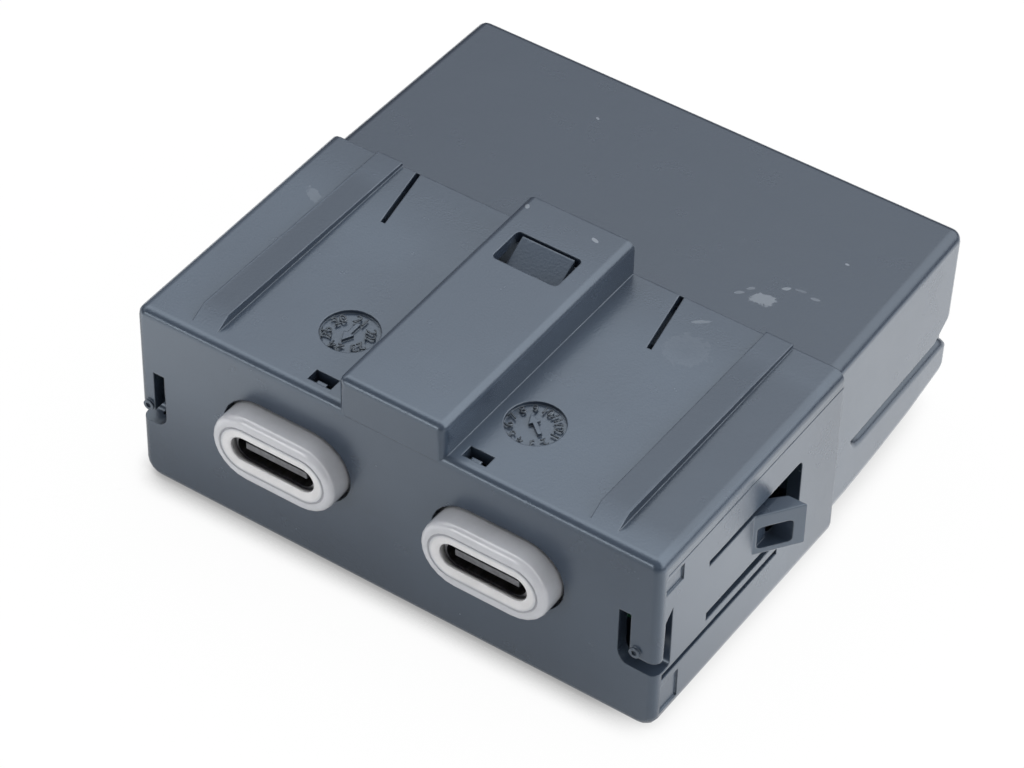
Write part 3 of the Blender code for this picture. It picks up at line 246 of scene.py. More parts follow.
class StageSettings(bpy.types.PropertyGroup):
    floor: bpy.props.FloatVectorProperty(
        name="Floor colour", description="Colour of the floor under the lamps", subtype="COLOR", size=3,
        min=0.0, max=1.0, default=(0.80, 0.80, 0.80))
    key: bpy.props.FloatProperty(
        name="Key light", description="Brightness of the large soft lamp above and behind", default=0.9,
        min=0.0)
    side: bpy.props.FloatProperty(
        name="Side light", description="Brightness of the soft lamp on the right", default=2.2, min=0.0)
    front: bpy.props.FloatProperty(
        name="Front light", description="Brightness of the soft lamp at the front left", default=1.6,
        min=0.0)
    world: bpy.props.FloatProperty(
        name="Tent", description="Strength of the white tent round the object", default=0.90, min=0.0)
    opening: bpy.props.FloatProperty(
        name="Opening", description="How dark the tent's opening towards the front is", default=0.90,
        min=0.0, max=1.0)
    window: bpy.props.FloatProperty(
        name="Window", description="Brightness of the low window in front that draws lines on edges",
        default=4.0, min=0.0)
    mirrored_right: bpy.props.FloatProperty(
        name="Floor at the right", description="How bright glossy sides see the floor at the right",
        default=1.58, min=0.0)
    mirrored_front: bpy.props.FloatProperty(
        name="Floor in front", description="How bright glossy fronts see the floor before the object",
        default=1.05, min=0.0)
    azimuth: bpy.props.FloatProperty(
        name="Azimuth", description="Camera's direction round the object", default=math.radians(33.70),
        subtype="ANGLE", unit="ROTATION")
    elevation: bpy.props.FloatProperty(
        name="Elevation", description="Camera's height above the horizon", default=math.radians(43.41),
        subtype="ANGLE", unit="ROTATION")
    roll: bpy.props.FloatProperty(
        name="Roll", description="Camera's tilt about its own axis", default=math.radians(1.30),
        subtype="ANGLE", unit="ROTATION")
    position: bpy.props.FloatVectorProperty(
        name="Camera position", description="Where the camera stands", size=3, precision=5,
        subtype="XYZ", unit="LENGTH", default=(0.14675, -0.22640, 0.26215))
    lens: bpy.props.FloatProperty(
        name="Lens", description="Focal length in millimetres", default=141.69, min=10.0)


class SocketSettings(bpy.types.PropertyGroup):
    moulding: bpy.props.PointerProperty(type=MouldingSettings)
    port: bpy.props.PointerProperty(type=PortSettings)
    stage: bpy.props.PointerProperty(type=StageSettings)


# Helpers for meshes

def flat_areas(bm):
    """The area of the flat region that each face belongs to, by face index."""
    bm.faces.ensure_lookup_table()
    region = {}
    for start in bm.faces:
        if start.index in region:
            continue
        found, waiting = {start.index}, [start]
        while waiting:
            face = waiting.pop()
            for edge in face.edges:
                for other in edge.link_faces:
                    if other.index not in found and other.normal.dot(start.normal) > SAME_PLANE:
                        found.add(other.index)
                        waiting.append(other)
        area = sum(bm.faces[index].calc_area() for index in found)
        for index in found:
            region[index] = area
    return region


def smooth_corners(bm, limit):
    """Corner normals in face order, in which large flat faces pull the rounded ones next to them."""
    bm.normal_update()
    bm.faces.index_update()
    area = flat_areas(bm)
    least = math.cos(limit)
    normals = []
    for face in bm.faces:
        for loop in face.loops:
            total = Vector((0.0, 0.0, 0.0))
            for other in loop.vert.link_faces:
                if other.normal.dot(face.normal) >= least:
                    total += other.normal * area[other.index] ** 2
            normals.append(total.normalized() if total.length > 0.0 else face.normal.copy())
    return normals


def finished_copy(node, name):
    """A merged copy of a CAD node with flat areas joined, shaded smooth up to its real edges."""
    source = NODES[node]
    bm = bmesh.new()
    bm.from_mesh(source.data)
    bmesh.ops.transform(bm, matrix=source.matrix_world, verts=bm.verts)
    bmesh.ops.remove_doubles(bm, verts=bm.verts, dist=MERGE_DISTANCE)
    bmesh.ops.dissolve_limit(bm, angle_limit=FLAT_ANGLE, verts=bm.verts, edges=bm.edges)
    bmesh.ops.triangulate(bm, faces=[face for face in bm.faces if len(face.verts) > LARGEST_FACE])
    normals = smooth_corners(bm, SMOOTH_ANGLE)
    mesh = bpy.data.meshes.new(name)
    bm.to_mesh(mesh)
    bm.free()
    mesh.shade_smooth()
    mesh.normals_split_custom_set(normals)
    piece = bpy.data.objects.new(name, mesh)
    bpy.context.scene.collection.objects.link(piece)
    return piece


def mesh_object(name, bm):
    """An object in the scene from a finished bmesh, which is freed."""
    bmesh.ops.recalc_face_normals(bm, faces=bm.faces)
    mesh = bpy.data.meshes.new(name)
    bm.to_mesh(mesh)
    bm.free()
    piece = bpy.data.objects.new(name, mesh)
    bpy.context.scene.collection.objects.link(piece)
    return piece


def place(piece, *nodes, slot=None):
    """Let a piece ride on the only body, in place of its CAD nodes."""
    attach(piece, BODY)
    if nodes:
        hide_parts(*nodes)
    return piece


def paint(piece, mat):
    piece.data.materials.clear()
    piece.data.materials.append(mat)


def finish_node(node, mat, slot):
    """Put a painted, finished copy in place of a CAD node."""
    piece = finished_copy(node, node + "_finished")
    paint(piece, mat)
    place(piece, node, slot=slot)


def text_mesh(bm, text, size, depth, point, turn):
    """Add a figure as a thin solid: its middle at a point, its head turned from +Y about Z."""
    curve = bpy.data.curves.new("figure", "FONT")
    curve.body = text
    curve.size = size
    curve.extrude = depth / 2
    curve.align_x = "CENTER"
    curve.align_y = "CENTER"
    curve.resolution_u = FIGURE_STEPS
    holder = bpy.data.objects.new("figure", curve)
    bpy.context.scene.collection.objects.link(holder)
    bpy.context.view_layer.update()
    mesh = bpy.data.meshes.new_from_object(holder.evaluated_get(bpy.context.evaluated_depsgraph_get()))
    mesh.transform(Matrix.Translation(point) @ Matrix.Rotation(turn, 4, "Z"))
    bm.from_mesh(mesh)
    bpy.data.meshes.remove(mesh)
    bpy.data.objects.remove(holder, do_unlink=True)
    bpy.data.curves.remove(curve)


def strip_row(name, count, pitch, size, origin, mat):
    """A row of thin strips along X, made by Geometry Nodes and kept as a plain mesh."""
    tree = bpy.data.node_groups.new(name, "GeometryNodeTree")
    tree.interface.new_socket(name="Geometry", in_out="INPUT", socket_type="NodeSocketGeometry")
    for label, kind in (("Count", "NodeSocketInt"), ("Pitch", "NodeSocketFloat"),
                        ("Size", "NodeSocketVector"), ("Origin", "NodeSocketVector"),
                        ("Material", "NodeSocketMaterial")):
        tree.interface.new_socket(name=label, in_out="INPUT", socket_type=kind)
    tree.interface.new_socket(name="Geometry", in_out="OUTPUT", socket_type="NodeSocketGeometry")
    given, result = tree.nodes.new("NodeGroupInput"), tree.nodes.new("NodeGroupOutput")
    line = tree.nodes.new("GeometryNodeMeshLine")
    line.mode = "OFFSET"
    step = tree.nodes.new("ShaderNodeCombineXYZ")
    tree.links.new(given.outputs["Pitch"], step.inputs["X"])
    tree.links.new(given.outputs["Count"], line.inputs["Count"])
    tree.links.new(given.outputs["Origin"], line.inputs["Start Location"])
    tree.links.new(step.outputs["Vector"], line.inputs["Offset"])
    cube = tree.nodes.new("GeometryNodeMeshCube")
    tree.links.new(given.outputs["Size"], cube.inputs["Size"])
    spread = tree.nodes.new("GeometryNodeInstanceOnPoints")
    tree.links.new(line.outputs["Mesh"], spread.inputs["Points"])
    tree.links.new(cube.outputs["Mesh"], spread.inputs["Instance"])
    real = tree.nodes.new("GeometryNodeRealizeInstances")
    tree.links.new(spread.outputs["Instances"], real.inputs["Geometry"])
    dressed = tree.nodes.new("GeometryNodeSetMaterial")
    tree.links.new(real.outputs["Geometry"], dressed.inputs["Geometry"])
    tree.links.new(given.outputs["Material"], dressed.inputs["Material"])
    tree.links.new(dressed.outputs["Geometry"], result.inputs["Geometry"])
    seed = bpy.data.meshes.new(name + "_seed")
    piece = bpy.data.objects.new(name, seed)
    bpy.context.scene.collection.objects.link(piece)
    mod = piece.modifiers.new("Strips", "NODES")
    mod.node_group = tree
    values = {"Count": count, "Pitch": pitch, "Size": size, "Origin": origin, "Material": mat}
    for item in tree.interface.items_tree:
        if item.in_out == "INPUT" and item.name in values:
            mod[item.identifier] = values[item.name]
    bpy.context.view_layer.update()
    mesh = bpy.data.meshes.new_from_object(piece.evaluated_get(bpy.context.evaluated_depsgraph_get()))
    mesh.name = name
    piece.modifiers.remove(mod)
    piece.data = mesh
    bpy.data.meshes.remove(seed)
    return piece


# Helpers for materials

def new_group(name, inputs, outputs):
    """A new node group with its sockets, and the nodes that hold its inputs and outputs."""
    tree = bpy.data.node_groups.new(name, "ShaderNodeTree")
    for way, sockets in (("INPUT", inputs), ("OUTPUT", outputs)):
        for label, kind in sockets:
            tree.interface.new_socket(name=label, in_out=way, socket_type=kind)
    return tree, tree.nodes.new("NodeGroupInput"), tree.nodes.new("NodeGroupOutput")


def use_group(tree, group, **values):
    """A copy of a node group in a material, with its inputs set."""
    node = tree.nodes.new("ShaderNodeGroup")
    node.node_tree = group
    for label, value in values.items():
        node.inputs[label.replace("_", " ").capitalize()].default_value = value
    return node


def start_material(name):
    """A new material, its node tree and its Principled shader."""
    mat = bpy.data.materials.new(name)
    mat.use_nodes = True
    tree = mat.node_tree
    return mat, tree, tree.nodes["Principled BSDF"]


def feed(tree, socket, value):
    """Link an input to a node's output, or set it to a plain value."""
    if isinstance(value, bpy.types.NodeSocket):
        tree.links.new(value, socket)
    else:
        socket.default_value = value


def object_point(tree):
    return tree.nodes.new("ShaderNodeTexCoord").outputs["Object"]


def split_vector(tree, vector):
    """The X, Y and Z outputs of a vector."""
    node = tree.nodes.new("ShaderNodeSeparateXYZ")
    tree.links.new(vector, node.inputs["Vector"])
    return node.outputs


def math_node(tree, operation, first, second=None, clamp=False):
    node = tree.nodes.new("ShaderNodeMath")
    node.operation = operation
    node.use_clamp = clamp
    feed(tree, node.inputs[0], first)
    if second is not None:
        feed(tree, node.inputs[1], second)
    return node.outputs["Value"]


def product(tree, first, *others):
    """Everything multiplied together."""
    for other in others:
        first = math_node(tree, "MULTIPLY", first, other)
    return first


def one_minus(tree, value):
    return math_node(tree, "SUBTRACT", 1.0, value)


def vector_node(tree, operation, first, second=None):
    node = tree.nodes.new("ShaderNodeVectorMath")
    node.operation = operation
    feed(tree, node.inputs[0], first)
    if second is not None:
        feed(tree, node.inputs[1], second)
    return node.outputs["Value" if operation in ("DOT_PRODUCT", "LENGTH") else "Vector"]


def noise(tree, vector, scale, detail, roughness):
    node = tree.nodes.new("ShaderNodeTexNoise")
    tree.links.new(vector, node.inputs["Vector"])
    feed(tree, node.inputs["Scale"], scale)
    node.inputs["Detail"].default_value = detail
    node.inputs["Roughness"].default_value = roughness
    return node.outputs["Fac"]


def ramp(tree, value, low, high):
    """A soft step from 0 at the low value to 1 at the high one."""
    node = tree.nodes.new("ShaderNodeMapRange")
    node.interpolation_type = "SMOOTHSTEP"
    tree.links.new(value, node.inputs["Value"])
    feed(tree, node.inputs["From Min"], low)
    feed(tree, node.inputs["From Max"], high)
    return node.outputs["Result"]


def band(tree, value, rise, fall):
    """1 between two soft steps, 0 before the first and after the second."""
    return product(tree, ramp(tree, value, *rise), one_minus(tree, ramp(tree, value, *fall)))


def graded(tree, share, least, most):
    """The straight blend from one value to another, for a share from 0 to 1."""
    node = tree.nodes.new("ShaderNodeMapRange")
    tree.links.new(share, node.inputs["Value"])
    feed(tree, node.inputs["To Min"], least)
    feed(tree, node.inputs["To Max"], most)
    return node.outputs["Result"]


def mix_colour(tree, factor, first, second):
    node = tree.nodes.new("ShaderNodeMix")
    node.data_type = "RGBA"
    feed(tree, node.inputs[0], factor)
    for socket, colour in ((node.inputs[6], first), (node.inputs[7], second)):
        feed(tree, socket, colour if isinstance(colour, bpy.types.NodeSocket) else (*colour[:3], 1.0))
    return node.outputs[2]


def facing_up(tree):
    """1 on faces that look up, 0 on upright ones."""
    normal = tree.nodes.new("ShaderNodeNewGeometry").outputs["Normal"]
    return ramp(tree, split_vector(tree, normal)["Z"], low=0.30, high=0.85)


def scaled_colour(colour, share):
    return tuple(min(1.0, part * share) for part in colour)


def rounded_normal(tree, radius):
    """The surface's normal with every edge rounded off by a radius."""
    node = tree.nodes.new("ShaderNodeBevel")
    node.samples = EDGE_SAMPLES
    tree.links.new(radius, node.inputs["Radius"])
    return node.outputs["Normal"]


def bumped_normal(tree, height, distance, normal):
    node = tree.nodes.new("ShaderNodeBump")
    node.inputs["Strength"].default_value = 1.0
    tree.links.new(distance, node.inputs["Distance"])
    tree.links.new(height, node.inputs["Height"])
    tree.links.new(normal, node.inputs["Normal"])
    return node.outputs["Normal"]


# Node groups that materials share

def moulded_grain():
    """Fine spark-eroded texture of a mould, with a slow waviness, as a surface normal."""
    made = bpy.data.node_groups.get("Moulded grain")
    if made:
        return made
    tree, given, result = new_group(
        "Moulded grain",
        [("Grain scale", "NodeSocketFloat"), ("Grain depth", "NodeSocketFloat"),
         ("Wave depth", "NodeSocketFloat"), ("Edge radius", "NodeSocketFloat")],
        [("Normal", "NodeSocketVector")])
    point = object_point(tree)
    grain = noise(tree, point, given.outputs["Grain scale"], detail=3.0, roughness=0.6)
    wave = noise(tree, point, WAVE_SCALE, detail=2.0, roughness=0.5)
    rounded = rounded_normal(tree, given.outputs["Edge radius"])
    broad = bumped_normal(tree, wave, given.outputs["Wave depth"], rounded)
    fine = bumped_normal(tree, grain, given.outputs["Grain depth"], broad)
    tree.links.new(fine, result.inputs["Normal"])
    return tree


def edge_wear_and_highlight():
    """Where edges are rubbed and carry a painted highlight: the rounded normal leaves the flat one there."""
    made = bpy.data.node_groups.get("Edge wear and highlight")
    if made:
        return made
    tree, given, result = new_group(
        "Edge wear and highlight", [("Radius", "NodeSocketFloat"), ("Amount", "NodeSocketFloat")],
        [("Mask", "NodeSocketFloat")])
    rounded = rounded_normal(tree, given.outputs["Radius"])
    plain = tree.nodes.new("ShaderNodeNewGeometry").outputs["Normal"]
    leaning = one_minus(tree, vector_node(tree, "DOT_PRODUCT", rounded, plain))
    edge = ramp(tree, leaning, low=0.02, high=0.30)
    patches = ramp(tree, noise(tree, object_point(tree), WEAR_AND_HIGHLIGHT_SCALE, detail=4.0, roughness=0.65),
                   low=0.35, high=0.65)
    worn_and_lit = product(tree, edge, patches)
    tree.links.new(math_node(tree, "MULTIPLY", worn_and_lit, given.outputs["Amount"], clamp=True),
                   result.inputs["Mask"])
    return tree


def surface_scuffs():
    """Small pale flecks and thin rub marks of handling."""
    made = bpy.data.node_groups.get("Surface scuffs")
    if made:
        return made
    tree, given, result = new_group(
        "Surface scuffs", [("Fleck amount", "NodeSocketFloat"), ("Rub amount", "NodeSocketFloat")],
        [("Mask", "NodeSocketFloat")])
    point = object_point(tree)
    flecks = ramp(tree, noise(tree, point, FLECK_SCALE, detail=5.0, roughness=0.7), low=0.70, high=0.78)
    where = ramp(tree, noise(tree, point, HANDLED_SCALE, detail=2.0, roughness=0.5), low=0.52, high=0.66)
    stretch = tree.nodes.new("ShaderNodeMapping")
    stretch.inputs["Rotation"].default_value = (0.0, 0.0, RUB_DIRECTION)
    stretch.inputs["Scale"].default_value = (1.0, RUB_STRETCH, 1.0)
    tree.links.new(point, stretch.inputs["Vector"])
    rubs = ramp(tree, noise(tree, stretch.outputs["Vector"], RUB_SCALE, detail=3.0, roughness=0.6),
                low=0.66, high=0.78)
    spots = product(tree, flecks, where, given.outputs["Fleck amount"])
    lines = product(tree, rubs, where, given.outputs["Rub amount"])
    tree.links.new(math_node(tree, "MAXIMUM", spots, lines, clamp=True), result.inputs["Mask"])
    return tree


def spot_mark():
    """A soft-edged oval mark seen from above, broken up by noise."""
    made = bpy.data.node_groups.get("Spot mark")
    if made:
        return made
    tree, given, result = new_group(
        "Spot mark",
        [("Place", "NodeSocketVector"), ("Reach", "NodeSocketVector"),
         ("Turn", "NodeSocketFloat"), ("Inner", "NodeSocketFloat"),
         ("Amount", "NodeSocketFloat")],
        [("Mask", "NodeSocketFloat")])
    point = object_point(tree)
    turned = tree.nodes.new("ShaderNodeVectorRotate")
    turned.rotation_type = "Z_AXIS"
    tree.links.new(vector_node(tree, "SUBTRACT", point, given.outputs["Place"]), turned.inputs["Vector"])
    tree.links.new(given.outputs["Turn"], turned.inputs["Angle"])
    scaled = vector_node(tree, "DIVIDE", turned.outputs["Vector"], given.outputs["Reach"])
    ragged = noise(tree, point, RAGGED_SCALE, detail=3.0, roughness=0.6)
    ragged = product(tree, math_node(tree, "SUBTRACT", ragged, 0.5), RAGGEDNESS)
    distance = math_node(tree, "ADD", vector_node(tree, "LENGTH", scaled), ragged)
    outer = one_minus(tree, ramp(tree, distance, low=0.85, high=1.10))
    hollow = tree.nodes.new("ShaderNodeMapRange")
    tree.links.new(distance, hollow.inputs["Value"])
    tree.links.new(given.outputs["Inner"], hollow.inputs["From Max"])
    mask = math_node(tree, "MULTIPLY", outer, hollow.outputs["Result"], clamp=True)
    tree.links.new(math_node(tree, "MULTIPLY", mask, given.outputs["Amount"], clamp=True),
                   result.inputs["Mask"])
    return tree


def mouth_distance():
    """Distance from the middle line of the nearer port, seen from the front."""
    made = bpy.data.node_groups.get("Mouth distance")
    if made:
        return made
    tree, given, result = new_group(
        "Mouth distance",
        [("Port offset", "NodeSocketFloat"), ("Port height", "NodeSocketFloat"),
         ("Half line", "NodeSocketFloat")],
        [("Distance", "NodeSocketFloat")])
    point = split_vector(tree, object_point(tree))
    across = math_node(tree, "SUBTRACT", math_node(tree, "ABSOLUTE", point["X"]),
                       given.outputs["Port offset"])
    beyond = math_node(tree, "SUBTRACT", math_node(tree, "ABSOLUTE", across), given.outputs["Half line"])
    beyond = math_node(tree, "MAXIMUM", beyond, 0.0)
    upward = math_node(tree, "SUBTRACT", point["Z"], given.outputs["Port height"])
    squares = math_node(tree, "ADD", product(tree, beyond, beyond), product(tree, upward, upward))
    tree.links.new(math_node(tree, "SQRT", squares), result.inputs["Distance"])
    return tree


# Materials

def sleeve_painted_shade(tree, point):
    """Painted shade on the sleeve's rails, its right edge and its end, which reflect less light than the
    plates between them.
    """
    aside = math_node(tree, "ABSOLUTE", point["X"])
    rail = band(tree, aside, RAIL_INSIDE, RAIL_OUTSIDE)
    strip = math_node(tree, "MAXIMUM", rail, ramp(tree, point["X"], *RAIL_OUTSIDE))
    strip = product(tree, strip, ramp(tree, point["Z"], *PLATE_LEVEL),
                    ramp(tree, point["Y"], *STRIP_START), one_minus(tree, ramp(tree, point["Y"], *STRIP_END)))
    fading = product(tree, ramp(tree, point["Y"], *END_FADE), END_PAINTED_SHADE)
    return math_node(tree, "MAXIMUM", product(tree, strip, STRIP_PAINTED_SHADE), fading)


def housing_painted_shade(tree, point):
    """Painted shade on the housing's top behind the sleeve, and inside its long side recess."""
    behind = product(tree, ramp(tree, point["Y"], *BEHIND_SLEEVE), facing_up(tree))
    aside = math_node(tree, "ABSOLUTE", point["X"])
    recess = product(tree, band(tree, aside, RECESS_INSIDE, RECESS_OUTSIDE),
                     band(tree, point["Z"], RECESS_BOTTOM, RECESS_TOP))
    return math_node(tree, "MAXIMUM", behind, recess)


def case_plastic(settings, name, tone, marks, painted_shade_of):
    """Slate-grey moulded plastic with soft patches, fine grain, rubbed edges that also carry a painted
    highlight, scuffs, named marks and painted shade where the given mask puts it.
    """
    mat, tree, shader = start_material(name)
    coords = object_point(tree)
    point = split_vector(tree, coords)
    patches = ramp(tree, noise(tree, coords, PATCH_SCALE, detail=3.0, roughness=0.55), low=0.30, high=0.70)
    colour = mix_colour(tree, patches, scaled_colour(settings.shade, tone),
                        scaled_colour(settings.colour, tone))
    wear_and_highlight = use_group(tree, edge_wear_and_highlight(), Radius=settings.edge * WEAR_AND_HIGHLIGHT_REACH, Amount=WEAR_AND_HIGHLIGHT_AMOUNT)
    scuffs = use_group(tree, surface_scuffs(), Fleck_amount=FLECK_AMOUNT, Rub_amount=RUB_AMOUNT)
    handled = product(tree, scuffs.outputs["Mask"], facing_up(tree))
    pale = math_node(tree, "MAXIMUM", wear_and_highlight.outputs["Mask"], handled, clamp=True)
    for (x, y), (wide, deep), turn, inner, amount in marks:
        mark = use_group(tree, spot_mark(), Place=(x, FRONT + y, MARK_LEVEL), Reach=(wide, deep, MARK_HEIGHT),
                         Turn=math.radians(turn), Inner=max(inner, LEAST_HOLLOW), Amount=amount)
        pale = math_node(tree, "MAXIMUM", pale, mark.outputs["Mask"], clamp=True)
    # Painted shade: the colour goes towards dark blue on the rails, the sleeve's end, the housing's top and
    # inside its recess
    shaded = product(tree, painted_shade_of(tree, point), PAINTED_SHADE_AMOUNT)
    colour = mix_colour(tree, shaded, colour, PAINTED_SHADE_COLOUR)
    # The pale colour goes on scuffs and marks, and on rubbed edges, where it is also a painted highlight
    colour = mix_colour(tree, pale, colour, settings.scuff)
    tree.links.new(colour, shader.inputs["Base Color"])
    grain = use_group(tree, moulded_grain(), Grain_scale=1.0 / settings.grain, Grain_depth=CASE_GRAIN_DEPTH,
                      Wave_depth=CASE_WAVE_DEPTH, Edge_radius=settings.edge)
    tree.links.new(grain.outputs["Normal"], shader.inputs["Normal"])
    uneven = noise(tree, coords, POLISH_SCALE, detail=4.0, roughness=0.6)
    tree.links.new(graded(tree, uneven, settings.roughness - SMOOTHER, settings.roughness + ROUGHER),
                   shader.inputs["Roughness"])
    shader.inputs["Specular IOR Level"].default_value = 1.0
    shader.inputs["Specular Tint"].default_value = (*settings.sheen, 1.0)
    return mat


def guide_plastic(settings):
    """Milky light-guide plastic whose outer ring is cooler than its lip, with a fine seam between."""
    mat, tree, shader = start_material("Light guide plastic")
    clouds = ramp(tree, noise(tree, object_point(tree), CLOUD_SCALE, detail=3.0, roughness=0.6),
                  low=0.3, high=0.7)
    middle = centre("port_surround_right")
    away = use_group(tree, mouth_distance(), Port_offset=PORT_OFFSET, Port_height=middle.z,
                     Half_line=MOUTH_HALF_LINE).outputs["Distance"]
    lip = one_minus(tree, ramp(tree, away, *LIP_EDGE))
    seam = band(tree, away, SEAM_INSIDE, SEAM_OUTSIDE)
    warm = mix_colour(tree, clouds, settings.ring, scaled_colour(settings.ring, RING_CLOUDS))
    cool = mix_colour(tree, clouds, settings.rim, scaled_colour(settings.rim, RIM_CLOUDS))
    colour = mix_colour(tree, lip, cool, warm)
    colour = mix_colour(tree, product(tree, seam, SEAM_AMOUNT), colour, SEAM_COLOUR)
    tree.links.new(colour, shader.inputs["Base Color"])
    shader.inputs["Subsurface Weight"].default_value = 0.25
    shader.inputs["Subsurface Radius"].default_value = (0.6, 0.6, 0.65)
    shader.inputs["Subsurface Scale"].default_value = 0.001
    shader.inputs["Roughness"].default_value = 0.16
    shader.inputs["Specular IOR Level"].default_value = 1.0
    grain = use_group(tree, moulded_grain(), Grain_scale=6000.0, Grain_depth=0.000004,
                      Wave_depth=0.00001, Edge_radius=0.00012)
    tree.links.new(grain.outputs["Normal"], shader.inputs["Normal"])
    return mat


def plain_metal(name, colour, roughness):
    """Drawn or plated metal with fine lines along Y."""
    mat, tree, shader = start_material(name)
    mapping = tree.nodes.new("ShaderNodeMapping")
    mapping.inputs["Scale"].default_value = (1.0, DRAWN_STRETCH, 1.0)
    tree.links.new(object_point(tree), mapping.inputs["Vector"])
    lines = noise(tree, mapping.outputs["Vector"], DRAWN_SCALE, detail=3.0, roughness=0.6)
    shaded = mix_colour(tree, ramp(tree, lines, low=0.35, high=0.65), scaled_colour(colour, DRAWN_SHADE),
                        colour)
    tree.links.new(shaded, shader.inputs["Base Color"])
    tree.links.new(graded(tree, lines, roughness - DRAWN_SMOOTHER, roughness + DRAWN_ROUGHER),
                   shader.inputs["Roughness"])
    shader.inputs["Metallic"].default_value = 1.0
    return mat


def plain_solid(name, colour, roughness, scale=SPECKLE_SCALE):
    """A matt solid, such as moulded epoxy, ferrite, ceramic or rubber, with speckle and grain."""
    mat, tree, shader = start_material(name)
    speckle = ramp(tree, noise(tree, object_point(tree), scale, detail=4.0, roughness=0.65),
                   low=0.3, high=0.7)
    dark = scaled_colour(colour, 1.0 - SPECKLE_CONTRAST)
    light = scaled_colour(colour, 1.0 + SPECKLE_CONTRAST)
    tree.links.new(mix_colour(tree, speckle, dark, light), shader.inputs["Base Color"])
    grain = use_group(tree, moulded_grain(), Grain_scale=scale * 2.0, Grain_depth=0.000006,
                      Wave_depth=0.0, Edge_radius=0.00008)
    tree.links.new(grain.outputs["Normal"], shader.inputs["Normal"])
    shader.inputs["Roughness"].default_value = roughness
    return mat


def board_finish():
    """Green solder mask in two near shades, with faint lighter lines between them for traces."""
    mat, tree, shader = start_material("Solder mask")
    cells = tree.nodes.new("ShaderNodeTexBrick")
    cells.inputs["Scale"].default_value = CELL_SCALE
    cells.inputs["Mortar Size"].default_value = TRACE_WIDTH
    for label, colour in (("Color1", MASK_DARK), ("Color2", MASK_LIGHT), ("Mortar", TRACE_GREEN)):
        cells.inputs[label].default_value = (*colour, 1.0)
    tree.links.new(object_point(tree), cells.inputs["Vector"])
    tree.links.new(cells.outputs["Color"], shader.inputs["Base Color"])
    shader.inputs["Roughness"].default_value = 0.30
    return mat


# Operators

class USBSOCKET_OT_mouldings(bpy.types.Operator):
    """Finish the front sleeve and the rear housing"""
    bl_idname = "usbsocket.mouldings"
    bl_label = "Case mouldings"

    def execute(self, context):
        settings = context.scene.usb_socket.moulding
        sleeve = case_plastic(settings, "Sleeve plastic", CASE_TONE, SLEEVE_MARKS, sleeve_painted_shade)
        finish_node("front_sleeve", sleeve, "case_plastic")
        housing = case_plastic(settings, "Housing plastic", CASE_TONE, HOUSING_MARKS, housing_painted_shade)
        finish_node("rear_housing", housing, "case_plastic")
        return {"FINISHED"}


class USBSOCKET_OT_wheels(bpy.types.Operator):
    """Stand the figures in the date wheels"""
    bl_idname = "usbsocket.wheels"
    bl_label = "Date wheels"

    def execute(self, context):
        settings = context.scene.usb_socket.moulding
        # The figures are the case plastic at a third of its brightness, as painted shade for the shadowed
        # strokes of raised figures
        mat = case_plastic(settings, "Wheel figures", FIGURE_PAINTED_SHADE_TONE, (), sleeve_painted_shade)
        for name, (x, y, z), figures, first, radius, size in WHEELS:
            bm = bmesh.new()
            for index, figure in enumerate(figures):
                angle = math.radians(first - 360.0 / len(figures) * index)
                point = (x + radius * math.cos(angle), y + radius * math.sin(angle),
                         z - WHEEL_DEPTH + FIGURE_RISE)
                text_mesh(bm, figure, size, FIGURE_THICKNESS, point, angle - math.pi / 2)
            piece = mesh_object(name, bm)
            paint(piece, mat)
            place(piece, slot="case_plastic")
        return {"FINISHED"}


class USBSOCKET_OT_surrounds(bpy.types.Operator):
    """Finish the translucent port surrounds"""
    bl_idname = "usbsocket.surrounds"
    bl_label = "Port surrounds"

    def execute(self, context):
        mat = guide_plastic(context.scene.usb_socket.port)
        for side in SIDES:
            finish_node("port_surround_" + side, mat, "light_guide")
        return {"FINISHED"}


class USBSOCKET_OT_receptacles(bpy.types.Operator):
    """Finish the receptacles' shells and contact blades"""
    bl_idname = "usbsocket.receptacles"
    bl_label = "Receptacles"

    def execute(self, context):
        settings = context.scene.usb_socket.port
        # The steel is made dark as painted shade for the dark inside of the port mouths
        steel = plain_metal("Drawn steel", (0.24, 0.24, 0.25), roughness=0.32)
        black = plain_solid("Blade plastic", (0.110, 0.112, 0.122), roughness=0.42)
        gold = plain_metal("Gold plate", settings.contact, roughness=0.24)
        for side in SIDES:
            finish_node("usb_shell_" + side, steel, "shell_steel")
            finish_node("contact_blade_" + side, black, "blade_plastic")
            middle = centre("contact_blade_" + side)
            start = middle.x - settings.pitch * (settings.contacts - 1) / 2
            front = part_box("contact_blade_" + side)[0][1]
            for face, level in (("upper", BLADE_HALF), ("lower", -BLADE_HALF)):
                strips = strip_row("contacts_" + face + "_" + side, settings.contacts, settings.pitch,
                                   CONTACT_SIZE, (start, front + CONTACT_SETBACK, middle.z + level), gold)
                place(strips, slot="blade_plastic")
        return {"FINISHED"}


